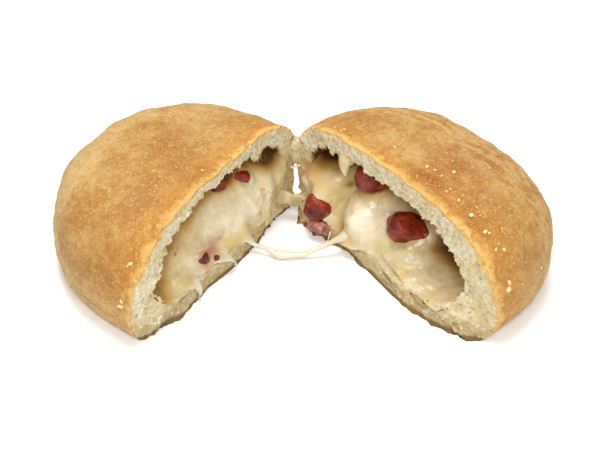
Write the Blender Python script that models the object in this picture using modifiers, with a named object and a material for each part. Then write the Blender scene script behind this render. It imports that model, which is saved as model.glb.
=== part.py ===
"""A baked panzerotto pulled apart by hand into two halves.

The two halves stand on their flat bases and touch at the back like an open book, with the torn
mouths facing forwards. Each half is a dough crust with a torn crumb edge round a hollow, filled
with melted mozzarella and diced salami, and cheese still stretches between the halves.

Units are metres and +Z is up. The origin is on the base plane, at the middle of the object's
bounding box. The viewer stands at -Y.

Each half is shaped in its own frame: x runs along the mouth, y into the bread from the tear and
z up. A point on a half is given by its turn round the mouth and its ring, which runs from the
far end of the crust, over the torn edge and down to the bottom of the hollow.
"""

import math

import bmesh
import bpy
from mathutils import Euler, Matrix, Vector, noise

MM = 0.001

# ---------------------------------------------------------------- driving dimensions of the halves
# "hinge" is the side of the mouth, +1 for +x or -1 for -x, where the two halves touch.
# "lip" is how far the torn base sticks out in front of the plane of the tear, at stations along x,
# and "brow" is how far the torn top does.
# "hollow_power" makes the top of the hollow squarer below 1, and "slope" is how far the cheese
# leans back for each mm of height.
# "tips" are crumbs that hang from the torn top: place along x, width and drop.
# "cheese_edge" is where the cheese ends on the floor of the hollow, at stations along x, and
# "sheet" is how far it runs back from there as a low sheet before it rises.
# "lumps" bulge out of the cheese: place along x, height, width along x, width upwards and bulge.
# "hinge_fill" is where the cheese fills the hollow up to its mouth at the hinge: the place along
# the mouth where it starts and where it is full, its top, and its depth there.
LEFT = {
    "place": (-32.56, -8.95),
    "bearing": math.radians(54.0),
    "hinge": 1,
    "half_width": 51.0,
    "reach": 60.5,
    "far_power": {"hinge": 2.7, "free": 2.3},
    "height": 46.0,
    "lift": 1.8,
    "top_wall": 6.5,
    "base_wall": 6.5,
    "hinge_wall": 7.5,
    "free_wall": 14.5,
    "back_wall": 12.0,
    "hollow_power": {"hinge": 0.66, "free": 0.86},
    "slope": 0.2,
    "brow": ((-51, 2.5), (-46, 4.8), (-36, 4), (-22, 3.2), (-5, 2.4), (12, 2), (24, 1), (36, 0)),
    "lip": ((-51, 0), (-40, 3), (-27, 5.5), (-15, 4), (5, 5), (21, 3.5), (36, 0), (51, 0)),
    "tips": ((28.0, 3.2, 5.5),),
    "cheese_edge": ((-44, 0.5), (-36, -2.4), (-19, -3.2), (-12, -2.2), (4, -2), (20, -1), (26, 0.2)),
    "sheet": ((-38, 2), (-28, 4), (-10, 4), (20, 1.5), (40, 1)),
    "lumps": (
        (22, 19, 13, 9, 5),
        (33, 24, 6, 9, 3),
        (-4, 14, 10, 6, 2.5),
        (4, 30, 12, 7, -2),
        (30, 37, 8, 4, -5),
        (-34, 9, 9, 5, 4),
    ),
    "hinge_fill": (31.0, 39.0, 31.0, 0.2),
    "seed": 3.0,
}
RIGHT = {
    "place": (35.44, -8.65),
    "bearing": math.radians(-46.0),
    "hinge": -1,
    "half_width": 53.5,
    "reach": 48.6,
    "far_power": {"hinge": 2.2, "free": 2.9},
    "height": 47.4,
    "lift": 1.6,
    "top_wall": 9.5,
    "base_wall": 6.5,
    "hinge_wall": 6.0,
    "free_wall": 17.0,
    "back_wall": 12.0,
    "hollow_power": {"hinge": 0.5, "free": 0.86},
    "slope": 0.45,
    "brow": ((-45, 0), (-26, 2.2), (-5, 3.6), (12, 4.8), (30, 6), (54, 6)),
    "lip": ((-53, 1), (-45, 7), (-30, 7), (-20, 6), (-8, 7), (6, 11), (30, 12.5), (44, 9.5), (53, 2)),
    "tips": ((-28.0, 3.0, 5.0),),
    "cheese_edge": ((-42, -3), (-22, -6.4), (-8, -4.4), (4, -5.6), (14, -9.6), (32, -11.2), (44, -7)),
    "sheet": ((-40, 1), (-20, 1.5), (0, 5), (16, 14.5), (28, 14), (40, 5)),
    "lumps": (
        (-39, 19, 8, 8, 6),
        (-40, 33, 10, 5, -7),
        (-17, 18, 8, 8, 8.5),
        (-28, 23, 3.5, 12, -3.5),
        (6, 11, 9, 5, 3),
        (34, 7, 9, 3.5, 4),
        (24, 20, 11, 8, -8),
        (8, 28, 12, 6, -5),
    ),
    "hinge_fill": (36.0, 44.0, 30.0, -1.5),
    "seed": 11.0,
}

# ---------------------------------------------------------------- shape of the baked dough, in mm
SEAM_HEIGHT = 17.0  # height of the widest line of the crust
UNDERCUT = 6.0  # how far the round of the base would reach below the table
LIFT_DEPTH = 16.0  # how far in from the tear the top was pulled up
BASE_FAR_POWER = 4.0
TOP_FAR_POWER = 3.9  # above 2, the crown stays high towards the far end
SIDE_POWER = {"hinge": 0.52, "free": 0.8}  # below 1, a section is squarer than an ellipse
LOW_SIDE_POWER = 0.35
BASE_POWER = 0.6
HOLLOW_BASE_POWER = 0.62
HOLLOW_FAR_POWER = 2.5
HOLLOW_BELLY = 0.36  # height of the hollow's widest line, as a share of its height
JOINED_HEIGHT = 27.5  # where the torn corners at the hinge reach out to each other
JOINED_BULGE = 1.8
WAIST_HEIGHT = 12.0  # and where they stay back below that
WAIST = 0.7
JOINED_SPREAD = 6.5
JOINED_DEPTH = 5.0
FOLD_HEIGHT = 9.5  # height of the line where the dough was folded under
FOLD_DEPTH = 1.3
FOLD_WIDTH = 2.5

CRAG = 1.3  # how far the torn edge wanders
CRAG_LENGTH = 6.0
LIP_TURN = 0.5  # sine of the turn below the seam by which the lip is fully out
BROW_FROM = -0.3  # and from which the brow starts
BROW_TURN = 0.5
LOW_TURN = 0.4  # and by which the side is as square as it gets
DRAWN_OUT = 22.0  # how far back from the tear the skin follows its lip and its brow

# ---------------------------------------------------------------- shape of the filling, in mm
FIT_GAP = 0.3  # clearance between pieces that touch
CRUST_GAP = 0.45  # clearance of the cheese to the ragged edges of the crust
CHEESE_GAP = 0.7  # clearance of the cheese's coarser faces to the wall of the hollow
SHEET_THICKNESS = 2.6
CHEESE_DEEPEST = 0.8  # share of the hollow's length by which the open face meets the ceiling
CENTRE_RISE = 0.42
FILL_TOP = 6.0  # height over which the cheese at the hinge falls back under the crust

# Salami dice and bits: half, name, place in the half's frame, sizes and turns in degrees.
SALAMI = (
    (LEFT, "salami_left_top", (22.6, 5.4, 28.6), (7.8, 6.6, 6.4), (12, 24, 20)),
    (LEFT, "salami_left_shade", (10.8, 6.9, 31.4), (6.6, 6.0, 4.8), (-10, 20, 50)),
    (LEFT, "salami_left_low", (-6.6, 0.6, 11.6), (4.4, 4.0, 3.8), (10, -15, 25)),
    (LEFT, "salami_left_bit", (-1.4, -1.3, 9.8), (2.6, 2.4, 2.2), (0, 20, 40)),
    (RIGHT, "salami_right_hinge", (-36.2, -5.4, 14.6), (10.6, 9.4, 9.6), (8, 10, 30)),
    (RIGHT, "ham_right_hinge", (-32.8, -10.8, 4.8), (8.5, 2.6, 5.8), (10, 0, 5)),
    (RIGHT, "salami_right_middle", (0.4, 5.4, 18.2), (16.0, 10.5, 10.6), (25, 20, 12)),
    (RIGHT, "salami_right_shade", (-16.6, 7.6, 30.6), (14.6, 9.0, 9.2), (10, 8, 20)),
)
SALAMI_ROUND = 1.1

# Strands of cheese between the halves, in mm on the table: points with the thickness there.
WEB = (
    ((-15.8, 21.6, 14.5), 9.0),
    ((-11.4, 22.8, 12.5), 8.0),
    ((-7.6, 22.8, 10.3), 6.4),
    ((-3.0, 22.2, 9.1), 5.0),
    ((0.8, 22.4, 9.2), 5.6),
    ((4.2, 23.2, 10.6), 7.5),
    ((8.6, 22.4, 13.0), 9.0),
)
STRINGS = (
    (
        ((-24.6, 5.0, 12.2), 5.0),
        ((-21.6, 3.6, 9.4), 3.0),
        ((-19.2, 2.4, 6.4), 2.0),
        ((-17.4, 1.6, 4.4), 1.6),
        ((-14.3, 0.9, 3.3), 1.5),
        ((-9.8, 0.0, 3.2), 1.5),
        ((-0.8, -1.0, 3.0), 1.5),
        ((7.0, 0.0, 5.0), 1.7),
        ((12.2, 1.0, 6.8), 2.4),
        ((16.6, 2.0, 9.0), 4.2),
        ((20.6, 4.6, 11.2), 7.0),
    ),
    (
        ((-14.8, 1.0, 3.4), 1.5),
        ((-11.2, -0.9, 2.6), 1.9),
        ((-8.2, -2.2, 1.8), 2.4),
        ((-4.5, -2.2, 1.9), 2.2),
        ((1.1, -1.7, 2.2), 1.9),
        ((6.6, -0.7, 4.3), 1.8),
        ((12.6, 0.8, 6.8), 1.9),
    ),
)
STRAND_SIDES = 2
STRAND_STEPS = 3

SEGMENTS = 72
OUTER_RINGS = 9
BAND_RINGS = 4
HOLLOW_RINGS = 8
FACE_RINGS = 12
WALL_RINGS = 6


def signed_power(value, power):
    return math.copysign(abs(value) ** power, value)


def smooth(share):
    share = max(0.0, min(1.0, share))
    return share * share * (3.0 - 2.0 * share)


def along(stations, x):
    """The value at x of a smooth curve through the stations, level beyond both ends."""
    value = stations[0][1]
    for (start, low), (end, high) in zip(stations, stations[1:]):
        if x >= start:
            value = low + (high - low) * smooth((x - start) / (end - start))
    return value


def between(sides, half, across):
    """A value that changes from the free side of a half to the side of its hinge."""
    towards_hinge = 0.5 + 0.5 * half["hinge"] * across
    return sides["free"] + (sides["hinge"] - sides["free"]) * towards_hinge


def shrink(depth, reach, power):
    """Share of the mouth's size that is left at this depth, 1 at the tear and 0 at the reach."""
    return max(0.0, 1.0 - (max(depth, 0.0) / reach) ** power) ** (1.0 / power)


def top_height(half, depth):
    """Height of the crust's crown, which rises towards the tear where it was pulled open."""
    return half["height"] + half["lift"] * math.exp(-((depth / LIFT_DEPTH) ** 2))


def bell(value, width):
    return math.exp(-((value / width) ** 2))


def joined_bulge(half, across, depth, z):
    """How far the torn corner reaches out to the other half, where the two almost touch."""
    out = JOINED_BULGE * bell(z - JOINED_HEIGHT, JOINED_SPREAD)
    out -= WAIST * bell(z - WAIST_HEIGHT, JOINED_SPREAD)
    return out * smooth(half["hinge"] * across) * bell(depth, JOINED_DEPTH)


def crust_outside(half, turn, depth):
    across, up = math.cos(turn), math.sin(turn)
    side_power = between(SIDE_POWER, half, across)
    if up < 0:
        side_power += (LOW_SIDE_POWER - side_power) * smooth(-up / LOW_TURN)
    left = shrink(depth, half["reach"], between(half["far_power"], half, across))
    x = half["half_width"] * left * signed_power(across, side_power)
    if up > 0:
        rise = (top_height(half, depth) - SEAM_HEIGHT) * shrink(depth, half["reach"], TOP_FAR_POWER)
        z = SEAM_HEIGHT + rise * up**side_power
    else:
        fall = (SEAM_HEIGHT + UNDERCUT) * shrink(depth, half["reach"], BASE_FAR_POWER)
        z = SEAM_HEIGHT - fall * (-up) ** BASE_POWER
    z = max(z, 0.0)
    x += half["hinge"] * joined_bulge(half, across, depth, z)
    folded = FOLD_DEPTH * smooth((FOLD_HEIGHT - z) / FOLD_WIDTH)
    return Vector((x - folded * across, depth, z))


def crust_inside(half, turn, depth, gap=0.0):
    """The wall of the hollow, or of what fills it, which stays a gap clear of the wall."""
    across, up = math.cos(turn), math.sin(turn)
    power = between(half["hollow_power"], half, across) if up > 0 else HOLLOW_BASE_POWER
    left = shrink(depth, half["reach"] - half["back_wall"] - gap, HOLLOW_FAR_POWER)
    hinge_x = half["half_width"] - half["hinge_wall"] - gap
    free_x = half["half_width"] - half["free_wall"] - gap
    middle = half["hinge"] * (hinge_x - free_x) / 2
    x = middle + (hinge_x + free_x) / 2 * left * signed_power(across, power)
    floor = half["base_wall"] + gap
    ceiling = top_height(half, depth) - half["top_wall"] - gap
    belly = floor + HOLLOW_BELLY * (ceiling - floor)
    z = belly + ((ceiling - belly) if up > 0 else (belly - floor)) * left * signed_power(up, power)
    return Vector((x, depth, z))


def crag(half, turn, offset):
    """Wandering of a torn edge, from -1 to 1, the same all the way round."""
    radius = half["half_width"] / CRAG_LENGTH
    place = Vector((radius * math.cos(turn), radius * math.sin(turn), half["seed"] + offset))
    return noise.fractal(place, 0.8, 2.2, 3)


def overhang(half, turn, x):
    """How far the torn edge sticks out of the plane of the tear, as a lip below and a brow above."""
    low = along(half["lip"], x) * smooth(-math.sin(turn) / LIP_TURN)
    return low + along(half["brow"], x) * smooth((math.sin(turn) - BROW_FROM) / BROW_TURN)


def torn_rim(half, turn):
    """The outer edge of the torn crumb, where the baked skin ends."""
    edge = crust_outside(half, turn, 0.0)
    edge.y = CRAG * crag(half, turn, 0.0) - overhang(half, turn, edge.x)
    return edge


def hollow_rim(half, turn):
    """The inner edge of the torn crumb, with the tips of crumb that hang into the mouth."""
    across, up = math.cos(turn), math.sin(turn)
    edge = crust_inside(half, turn, 0.0)
    edge.y = 1.5 + CRAG * crag(half, turn, 5.0) - overhang(half, turn, edge.x)
    wander = CRAG * crag(half, turn, 9.0)
    if up < 0.3:
        wander = abs(wander)
    edge.x += wander * across
    edge.z += wander * up
    if up > 0:
        for tip_x, tip_width, tip_drop in half["tips"]:
            edge.z -= tip_drop * bell(edge.x - tip_x, tip_width)
    return edge


def crust_point(half, turn, ring):
    """Rings run from the far end of the crust over the torn edge to the end of the hollow."""
    if ring < OUTER_RINGS:
        depth = half["reach"] * math.cos(math.pi / 2 * ring / OUTER_RINGS)
        point = crust_outside(half, turn, depth)
        point.y += torn_rim(half, turn).y * max(0.0, 1.0 - depth / DRAWN_OUT) ** 2
        return point
    inward = ring - OUTER_RINGS
    if inward <= BAND_RINGS:
        share = inward / BAND_RINGS
        point = torn_rim(half, turn).lerp(hollow_rim(half, turn), share)
        if 0 < inward < BAND_RINGS:
            point.y += CRAG * 0.7 * crag(half, turn, 20.0 + 3.0 * inward)
        return point
    deeper = (inward - BAND_RINGS) / HOLLOW_RINGS
    end = half["reach"] - half["back_wall"]
    return crust_inside(half, turn, end * math.sin(math.pi / 2 * deeper))


def cheese_face(half, x, z):
    """Depth of the cheese's open face behind the tear, at this place across and up."""
    rise = max(0.0, z - half["base_wall"] - CHEESE_GAP)
    depth = along(half["cheese_edge"], x) + half["slope"] * rise
    depth += along(half["sheet"], x) * (1.0 - math.exp(-rise / SHEET_THICKNESS))
    for lump_x, lump_z, width, height, bulge in half["lumps"]:
        depth -= bulge * bell(x - lump_x, width) * bell(z - lump_z, height)
    start, full, top, filled = half["hinge_fill"]
    share = smooth((half["hinge"] * x - start) / (full - start)) * smooth((top - z) / FILL_TOP)
    depth += (filled - depth) * share
    return min(depth, CHEESE_DEEPEST * (half["reach"] - half["back_wall"]))


def cheese_rim(half, turn):
    """Where the open face of the cheese meets the wall of the hollow."""
    depth = 0.0
    for _ in range(12):
        wall = crust_inside(half, turn, depth, CHEESE_GAP)
        depth += 0.7 * (cheese_face(half, wall.x, wall.z) - depth)
    wall.y = depth
    return wall


def cheese_point(half, turn, ring):
    """Rings run from the middle of the open face over its rim to the end of the hollow."""
    rim = cheese_rim(half, turn)
    if ring <= FACE_RINGS:
        share = math.sin(math.pi / 2 * ring / FACE_RINGS)
        middle = half["hinge"] * (half["free_wall"] - half["hinge_wall"]) / 2
        room = half["height"] - half["base_wall"] - half["top_wall"]
        centre_z = half["base_wall"] + CENTRE_RISE * room
        x = middle + (rim.x - middle) * share
        z = centre_z + (rim.z - centre_z) * share
        return Vector((x, cheese_face(half, x, z), z))
    deeper = (ring - FACE_RINGS) / WALL_RINGS
    end = half["reach"] - half["back_wall"] - CHEESE_GAP
    return crust_inside(half, turn, rim.y + (end - rim.y) * math.sin(math.pi / 2 * deeper), CHEESE_GAP)


def in_metres(half, point):
    """A point of a half's own frame, in mm, as it stands on the table, in metres."""
    x, y = half["place"]
    standing = Matrix.Translation((x, y, 0.0)) @ Matrix.Rotation(half["bearing"], 4, "Z")
    return (standing @ Vector(point)) * MM


def add_object(name, shape, material, collection):
    mesh = bpy.data.meshes.new(name)
    shape.to_mesh(mesh)
    shape.free()
    made = bpy.data.objects.new(name, mesh)
    mesh.materials.append(material)
    collection.objects.link(made)
    return made


def moulded_ball(name, half, rings, shape, material, collection):
    """A ball whose points are moved to shape(half, turn, ring), so it stays one closed skin."""
    ball = bmesh.new()
    bmesh.ops.create_uvsphere(ball, u_segments=SEGMENTS, v_segments=rings, radius=1.0)
    for point in ball.verts:
        turn = math.atan2(point.co.y, point.co.x)
        ring = round(math.acos(max(-1.0, min(1.0, point.co.z))) / math.pi * rings)
        point.co = in_metres(half, shape(half, turn, ring))
    if ball.calc_volume(signed=True) < 0:
        bmesh.ops.reverse_faces(ball, faces=ball.faces)
    return add_object(name, ball, material, collection)


def finish_material(name, colour, roughness):
    material = bpy.data.materials.new(name)
    material.use_nodes = True
    shader = material.node_tree.nodes["Principled BSDF"]
    shader.inputs["Base Color"].default_value = (*colour, 1.0)
    shader.inputs["Roughness"].default_value = roughness
    shader.inputs["Metallic"].default_value = 0.0
    return material


def cut(body, other, gap, solver):
    """Take a piece's shape and its clearance out of the body that it touches."""
    cutter = other.copy()
    cutter.data = other.data.copy()
    cutter.name = f"room_for_{other.name}_in_{body.name}"
    cutter.hide_render = True
    cutter.display_type = "WIRE"
    cutters.objects.link(cutter)
    swell = cutter.modifiers.new("clearance", "DISPLACE")
    swell.strength = gap * MM
    swell.mid_level = 0.0
    pocket = body.modifiers.new(cutter.name, "BOOLEAN")
    pocket.operation = "DIFFERENCE"
    pocket.solver = solver
    pocket.object = cutter


def fuse(body, others):
    """Join a collection's shapes to the body, so that they are one solid."""
    joint = body.modifiers.new("joined", "BOOLEAN")
    joint.operation = "UNION"
    joint.operand_type = "COLLECTION"
    joint.collection = others
    bpy.context.view_layer.update()
    mesh = bpy.data.meshes.new_from_object(body.evaluated_get(bpy.context.evaluated_depsgraph_get()))
    body.modifiers.clear()
    body.data = mesh
    for other in list(others.objects):
        bpy.data.objects.remove(other)
    bpy.data.collections.remove(others)


def make_salami(half, name, place, sizes, turns, material, collection):
    die = bmesh.new()
    bmesh.ops.create_cube(die, size=MM)
    bmesh.ops.scale(die, vec=sizes, verts=die.verts)
    lean = Euler([math.radians(turn) for turn in turns]).to_matrix()
    bmesh.ops.rotate(die, cent=(0, 0, 0), matrix=lean, verts=die.verts)
    bmesh.ops.translate(die, vec=in_metres(half, place), verts=die.verts)
    made = add_object(name, die, material, collection)
    rounded = made.modifiers.new("worn_edges", "BEVEL")
    rounded.width = SALAMI_ROUND * MM
    rounded.segments = 2
    return made


def make_strand(name, route, material, collection):
    """A drawn-out strand of cheese along its route, closed at both ends."""
    curve = bpy.data.curves.new(name, "CURVE")
    curve.dimensions = "3D"
    curve.bevel_depth = 0.5 * MM
    curve.bevel_resolution = STRAND_SIDES
    curve.resolution_u = STRAND_STEPS
    curve.use_fill_caps = True
    strand = curve.splines.new("BEZIER")
    strand.bezier_points.add(len(route) - 1)
    for knot, (place, thickness) in zip(strand.bezier_points, route):
        knot.co = Vector(place) * MM
        knot.radius = thickness
        knot.handle_left_type = "AUTO"
        knot.handle_right_type = "AUTO"
    drawn = bpy.data.objects.new(f"{name}_route", curve)
    collection.objects.link(drawn)
    bpy.context.view_layer.update()
    mesh = bpy.data.meshes.new_from_object(drawn.evaluated_get(bpy.context.evaluated_depsgraph_get()))
    shape = bmesh.new()
    shape.from_mesh(mesh)
    bmesh.ops.remove_doubles(shape, verts=shape.verts, dist=MM / 1000)
    bpy.data.objects.remove(drawn)
    bpy.data.meshes.remove(mesh)
    return add_object(name, shape, material, collection)


for old in list(bpy.data.objects):
    bpy.data.objects.remove(old)

panzerotto = bpy.data.collections.new("panzerotto")
bpy.context.scene.collection.children.link(panzerotto)
cutters = bpy.data.collections.new("cutters")
bpy.context.scene.collection.children.link(cutters)

baked_dough = finish_material("baked_dough", (0.62, 0.30, 0.08), 0.65)
mozzarella = finish_material("mozzarella", (0.75, 0.62, 0.38), 0.3)
salami = finish_material("salami", (0.24, 0.05, 0.02), 0.35)

CRUST_RINGS = OUTER_RINGS + BAND_RINGS + HOLLOW_RINGS
CHEESE_RINGS = FACE_RINGS + WALL_RINGS
melted = bpy.data.collections.new("melted")
bpy.context.scene.collection.children.link(melted)
crust_left = moulded_ball("crust_left", LEFT, CRUST_RINGS, crust_point, baked_dough, panzerotto)
crust_right = moulded_ball("crust_right", RIGHT, CRUST_RINGS, crust_point, baked_dough, panzerotto)
cheese = moulded_ball("cheese", LEFT, CHEESE_RINGS, cheese_point, mozzarella, panzerotto)
moulded_ball("cheese_right", RIGHT, CHEESE_RINGS, cheese_point, mozzarella, melted)
make_strand("web", WEB, mozzarella, melted)
for number, route in enumerate(STRINGS):
    make_strand(f"string_{number}", route, mozzarella, melted)
fuse(cheese, melted)
cut(cheese, crust_left, CRUST_GAP, "EXACT")
cut(cheese, crust_right, CRUST_GAP, "EXACT")
for half, name, place, sizes, turns in SALAMI:
    die = make_salami(half, name, place, sizes, turns, salami, panzerotto)
    cut(cheese, die, FIT_GAP, "MANIFOLD")  # the exact one loses the cheese at the smallest bit
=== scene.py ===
"""A baked panzerotto pulled open by hand, with its melted cheese and diced salami.

Lengths are in millimetres until a mesh is made, and metres after that. Each half is shaped in
its own frame: x runs along the torn mouth, y into the bread from the tear and z up.
"""

import math

import bpy
import bmesh
import numpy as np
from mathutils import Euler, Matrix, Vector, noise
from mathutils.bvhtree import BVHTree


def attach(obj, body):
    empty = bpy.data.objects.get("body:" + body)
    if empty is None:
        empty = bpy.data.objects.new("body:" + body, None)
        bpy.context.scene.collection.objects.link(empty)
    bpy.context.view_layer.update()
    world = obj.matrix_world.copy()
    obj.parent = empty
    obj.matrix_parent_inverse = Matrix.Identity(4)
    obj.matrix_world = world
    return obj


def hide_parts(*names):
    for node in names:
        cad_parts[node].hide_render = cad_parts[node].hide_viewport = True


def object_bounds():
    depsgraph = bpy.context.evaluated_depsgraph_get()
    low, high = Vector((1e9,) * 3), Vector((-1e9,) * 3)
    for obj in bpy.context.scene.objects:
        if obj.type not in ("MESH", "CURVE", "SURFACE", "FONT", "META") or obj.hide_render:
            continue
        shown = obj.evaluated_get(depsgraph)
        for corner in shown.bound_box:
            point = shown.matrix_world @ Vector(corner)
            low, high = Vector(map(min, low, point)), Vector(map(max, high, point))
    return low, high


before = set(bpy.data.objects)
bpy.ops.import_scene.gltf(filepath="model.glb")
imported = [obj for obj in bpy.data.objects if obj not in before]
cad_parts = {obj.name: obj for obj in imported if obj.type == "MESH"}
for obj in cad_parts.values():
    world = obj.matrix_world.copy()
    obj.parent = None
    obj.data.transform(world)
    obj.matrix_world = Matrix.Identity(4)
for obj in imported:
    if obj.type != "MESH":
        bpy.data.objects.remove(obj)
cad_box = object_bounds()

# ======================================================================= baked dough, two halves
# The baked skin of each half with the dough behind it: a rounded pocket of yeast dough, golden
# and matt from the oven, flat underneath, floury towards its ends and torn open at its mouth.

MM = 0.001

LEFT = {
    "name": "left",
    "place": (-32.56, -8.95),
    "bearing": math.radians(54.0),
    "hinge": 1,
    "half_width": 51.0,
    "reach": 60.5,
    "far_power": {"hinge": 2.7, "free": 2.3},
    "height": 46.0,
    "lift": 1.8,
    "top_wall": 6.5,
    "base_wall": 6.5,
    "hinge_wall": 7.5,
    "free_wall": 14.5,
    "back_wall": 12.0,
    "hollow_power": {"hinge": 0.66, "free": 0.86},
    "slope": 0.2,
    "brow": ((-51, 2.5), (-46, 4.8), (-36, 4), (-22, 3.2), (-5, 2.4), (12, 2), (24, 1), (36, 0)),
    "lip": ((-51, 0), (-40, 3), (-27, 5.5), (-15, 4), (5, 5), (21, 3.5), (36, 0), (51, 0)),
    "tips": ((28.0, 3.2, 5.5),),
    "ridged": 0.25,
    "wrinkled": 1.0,
    # how much paler the lower side is painted, as painted light
    "painted_light_side": 0.6,
    "strewn": 0.22,
    "seed": 3.0,
}
RIGHT = {
    "name": "right",
    "place": (35.44, -8.65),
    "bearing": math.radians(-46.0),
    "hinge": -1,
    "half_width": 53.5,
    "reach": 48.6,
    "far_power": {"hinge": 2.2, "free": 2.9},
    "height": 47.4,
    "lift": 1.6,
    "top_wall": 9.5,
    "base_wall": 6.5,
    "hinge_wall": 6.0,
    "free_wall": 17.0,
    "back_wall": 12.0,
    "hollow_power": {"hinge": 0.5, "free": 0.86},
    "slope": 0.45,
    "brow": ((-45, 0), (-26, 2.2), (-5, 3.6), (12, 4.8), (30, 6), (54, 6)),
    "lip": ((-53, 1), (-45, 7), (-30, 7), (-20, 6), (-8, 7), (6, 11), (30, 12.5), (44, 9.5), (53, 2)),
    "tips": ((-28.0, 3.0, 5.0),),
    "ridged": 1.0,
    "wrinkled": 0.35,
    "painted_light_side": 0.2,
    "strewn": 1.0,
    "seed": 11.0,
}

SEAM_HEIGHT = 17.0
UNDERCUT = 6.0
LIFT_DEPTH = 16.0
BASE_FAR_POWER = 4.0
TOP_FAR_POWER = 3.9
SIDE_POWER = {"hinge": 0.52, "free": 0.8}
LOW_SIDE_POWER = 0.35
BASE_POWER = 0.6
HOLLOW_BASE_POWER = 0.62
HOLLOW_FAR_POWER = 2.5
HOLLOW_BELLY = 0.36
JOINED_HEIGHT = 27.5
JOINED_BULGE = 1.0
WAIST_HEIGHT = 12.0
WAIST = 0.7
JOINED_SPREAD = 6.5
JOINED_DEPTH = 5.0
FOLD_HEIGHT = 9.5
FOLD_DEPTH = 1.3
FOLD_WIDTH = 1.0
CRAG = 1.3
CRAG_LENGTH = 6.0
LIP_TURN = 0.5
BROW_FROM = -0.3
BROW_TURN = 0.5
DRAWN_OUT = 22.0  # how far back from the tear the skin follows its lip and its brow
LOW_TURN = 0.4

SKIN_SEGMENTS = 560
SKIN_RINGS = 120
HIDDEN_BAND_RINGS = 6
HOLLOW_RINGS = 26
HOLLOW_SET_BACK = 1.5  # how far the hollow's rim lies behind the tear
CRUMB_SEATING = 1.6  # how far the dough lies back behind its torn crumb


def signed_power(value, power):
    """A power of the value that keeps its sign."""
    return np.sign(value) * np.abs(value) ** power


def smooth(share):
    """Eases a share in and out, held between 0 and 1."""
    share = np.clip(share, 0.0, 1.0)
    return share * share * (3.0 - 2.0 * share)


def bell(value, width):
    """1 where the value is 0, falling softly to nothing about two widths away."""
    return np.exp(-((value / width) ** 2))


def rough(points, size, seed, octaves=3):
    """Soft lumps about size mm wide at each point, from about -1 to 1."""
    flat = points.reshape(-1, 3) / size
    values = [noise.fractal((x, y, z + seed), 1.0, 2.0, octaves) for x, y, z in flat.tolist()]
    return np.array(values).reshape(points.shape[:-1])


def along(stations, x):
    """The value at x of a smooth curve through the stations, level beyond both ends."""
    value = np.full_like(x, stations[0][1], dtype=float)
    for (start, low), (end, high) in zip(stations, stations[1:]):
        value += (high - low) * smooth((x - start) / (end - start))
    return value


def between(sides, half, across):
    """A value that goes from the free corner's to the hinge corner's across the mouth."""
    towards_hinge = 0.5 + 0.5 * half["hinge"] * across
    return sides["free"] + (sides["hinge"] - sides["free"]) * towards_hinge


def shrink(depth, reach, power):
    """Share of the mouth's size that is left at this depth, 1 at the tear and 0 at the reach."""
    return np.maximum(0.0, 1.0 - (np.maximum(depth, 0.0) / reach) ** power) ** (1.0 / power)


def top_height(half, depth):
    """Height of the roof, which the pull lifted a little near the tear."""
    return half["height"] + half["lift"] * bell(depth, LIFT_DEPTH)


def joined_bulge(half, across, depth, z):
    """How far the torn corner reaches out to the other half, where the two still touch."""
    out = JOINED_BULGE * bell(z - JOINED_HEIGHT, JOINED_SPREAD)
    out = out - WAIST * bell(z - WAIST_HEIGHT, JOINED_SPREAD)
    return out * smooth(half["hinge"] * across) * bell(depth, JOINED_DEPTH)


def crust_outside(half, turn, depth):
    """The outside of the crust at each turn round the mouth, this deep behind the tear."""
    across, up = np.cos(turn), np.sin(turn)
    upper_power = between(SIDE_POWER, half, across)
    side_power = upper_power + (LOW_SIDE_POWER - upper_power) * smooth(-up / LOW_TURN)
    left = shrink(depth, half["reach"], between(half["far_power"], half, across))
    x = half["half_width"] * left * signed_power(across, side_power)
    rise = (top_height(half, depth) - SEAM_HEIGHT) * shrink(depth, half["reach"], TOP_FAR_POWER)
    fall = (SEAM_HEIGHT + UNDERCUT) * shrink(depth, half["reach"], BASE_FAR_POWER)
    above = rise * np.abs(up) ** upper_power
    below = -fall * np.abs(up) ** BASE_POWER
    z = np.maximum(SEAM_HEIGHT + np.where(up > 0, above, below), 0.0)
    x += half["hinge"] * joined_bulge(half, across, depth, z)
    folded = FOLD_DEPTH * smooth((FOLD_HEIGHT - z) / FOLD_WIDTH)
    return np.stack([x - folded * across, depth + 0.0 * turn, z], axis=-1)


def crust_inside(half, turn, depth, gap=0.0):
    """The wall of the hollow, or of what fills it, which stays a gap clear of the wall."""
    across, up = np.cos(turn), np.sin(turn)
    power = np.where(up > 0, between(half["hollow_power"], half, across), HOLLOW_BASE_POWER)
    left = shrink(depth, half["reach"] - half["back_wall"] - gap, HOLLOW_FAR_POWER)
    hinge_x = half["half_width"] - half["hinge_wall"] - gap
    free_x = half["half_width"] - half["free_wall"] - gap
    middle = half["hinge"] * (hinge_x - free_x) / 2
    x = middle + (hinge_x + free_x) / 2 * left * signed_power(across, power)
    floor = half["base_wall"] + gap
    ceiling = top_height(half, depth) - half["top_wall"] - gap
    belly = floor + HOLLOW_BELLY * (ceiling - floor)
    z = belly + np.where(up > 0, ceiling - belly, belly - floor) * left * signed_power(up, power)
    return np.stack([x, depth + 0.0 * turn, z], axis=-1)


def crag(half, turn, offset):
    """Wandering of a torn edge, from -1 to 1, the same all the way round."""
    radius = half["half_width"] / CRAG_LENGTH
    places = [(radius * math.cos(t), radius * math.sin(t), half["seed"] + offset) for t in turn]
    return np.array([noise.fractal(place, 0.8, 2.2, 3) for place in places])


def overhang(half, turn, x):
    """How far the base reaches out as a lip at the tear, and the roof as a brow."""
    low = along(half["lip"], x) * smooth(-np.sin(turn) / LIP_TURN)
    return low + along(half["brow"], x) * smooth((np.sin(turn) - BROW_FROM) / BROW_TURN)


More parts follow.
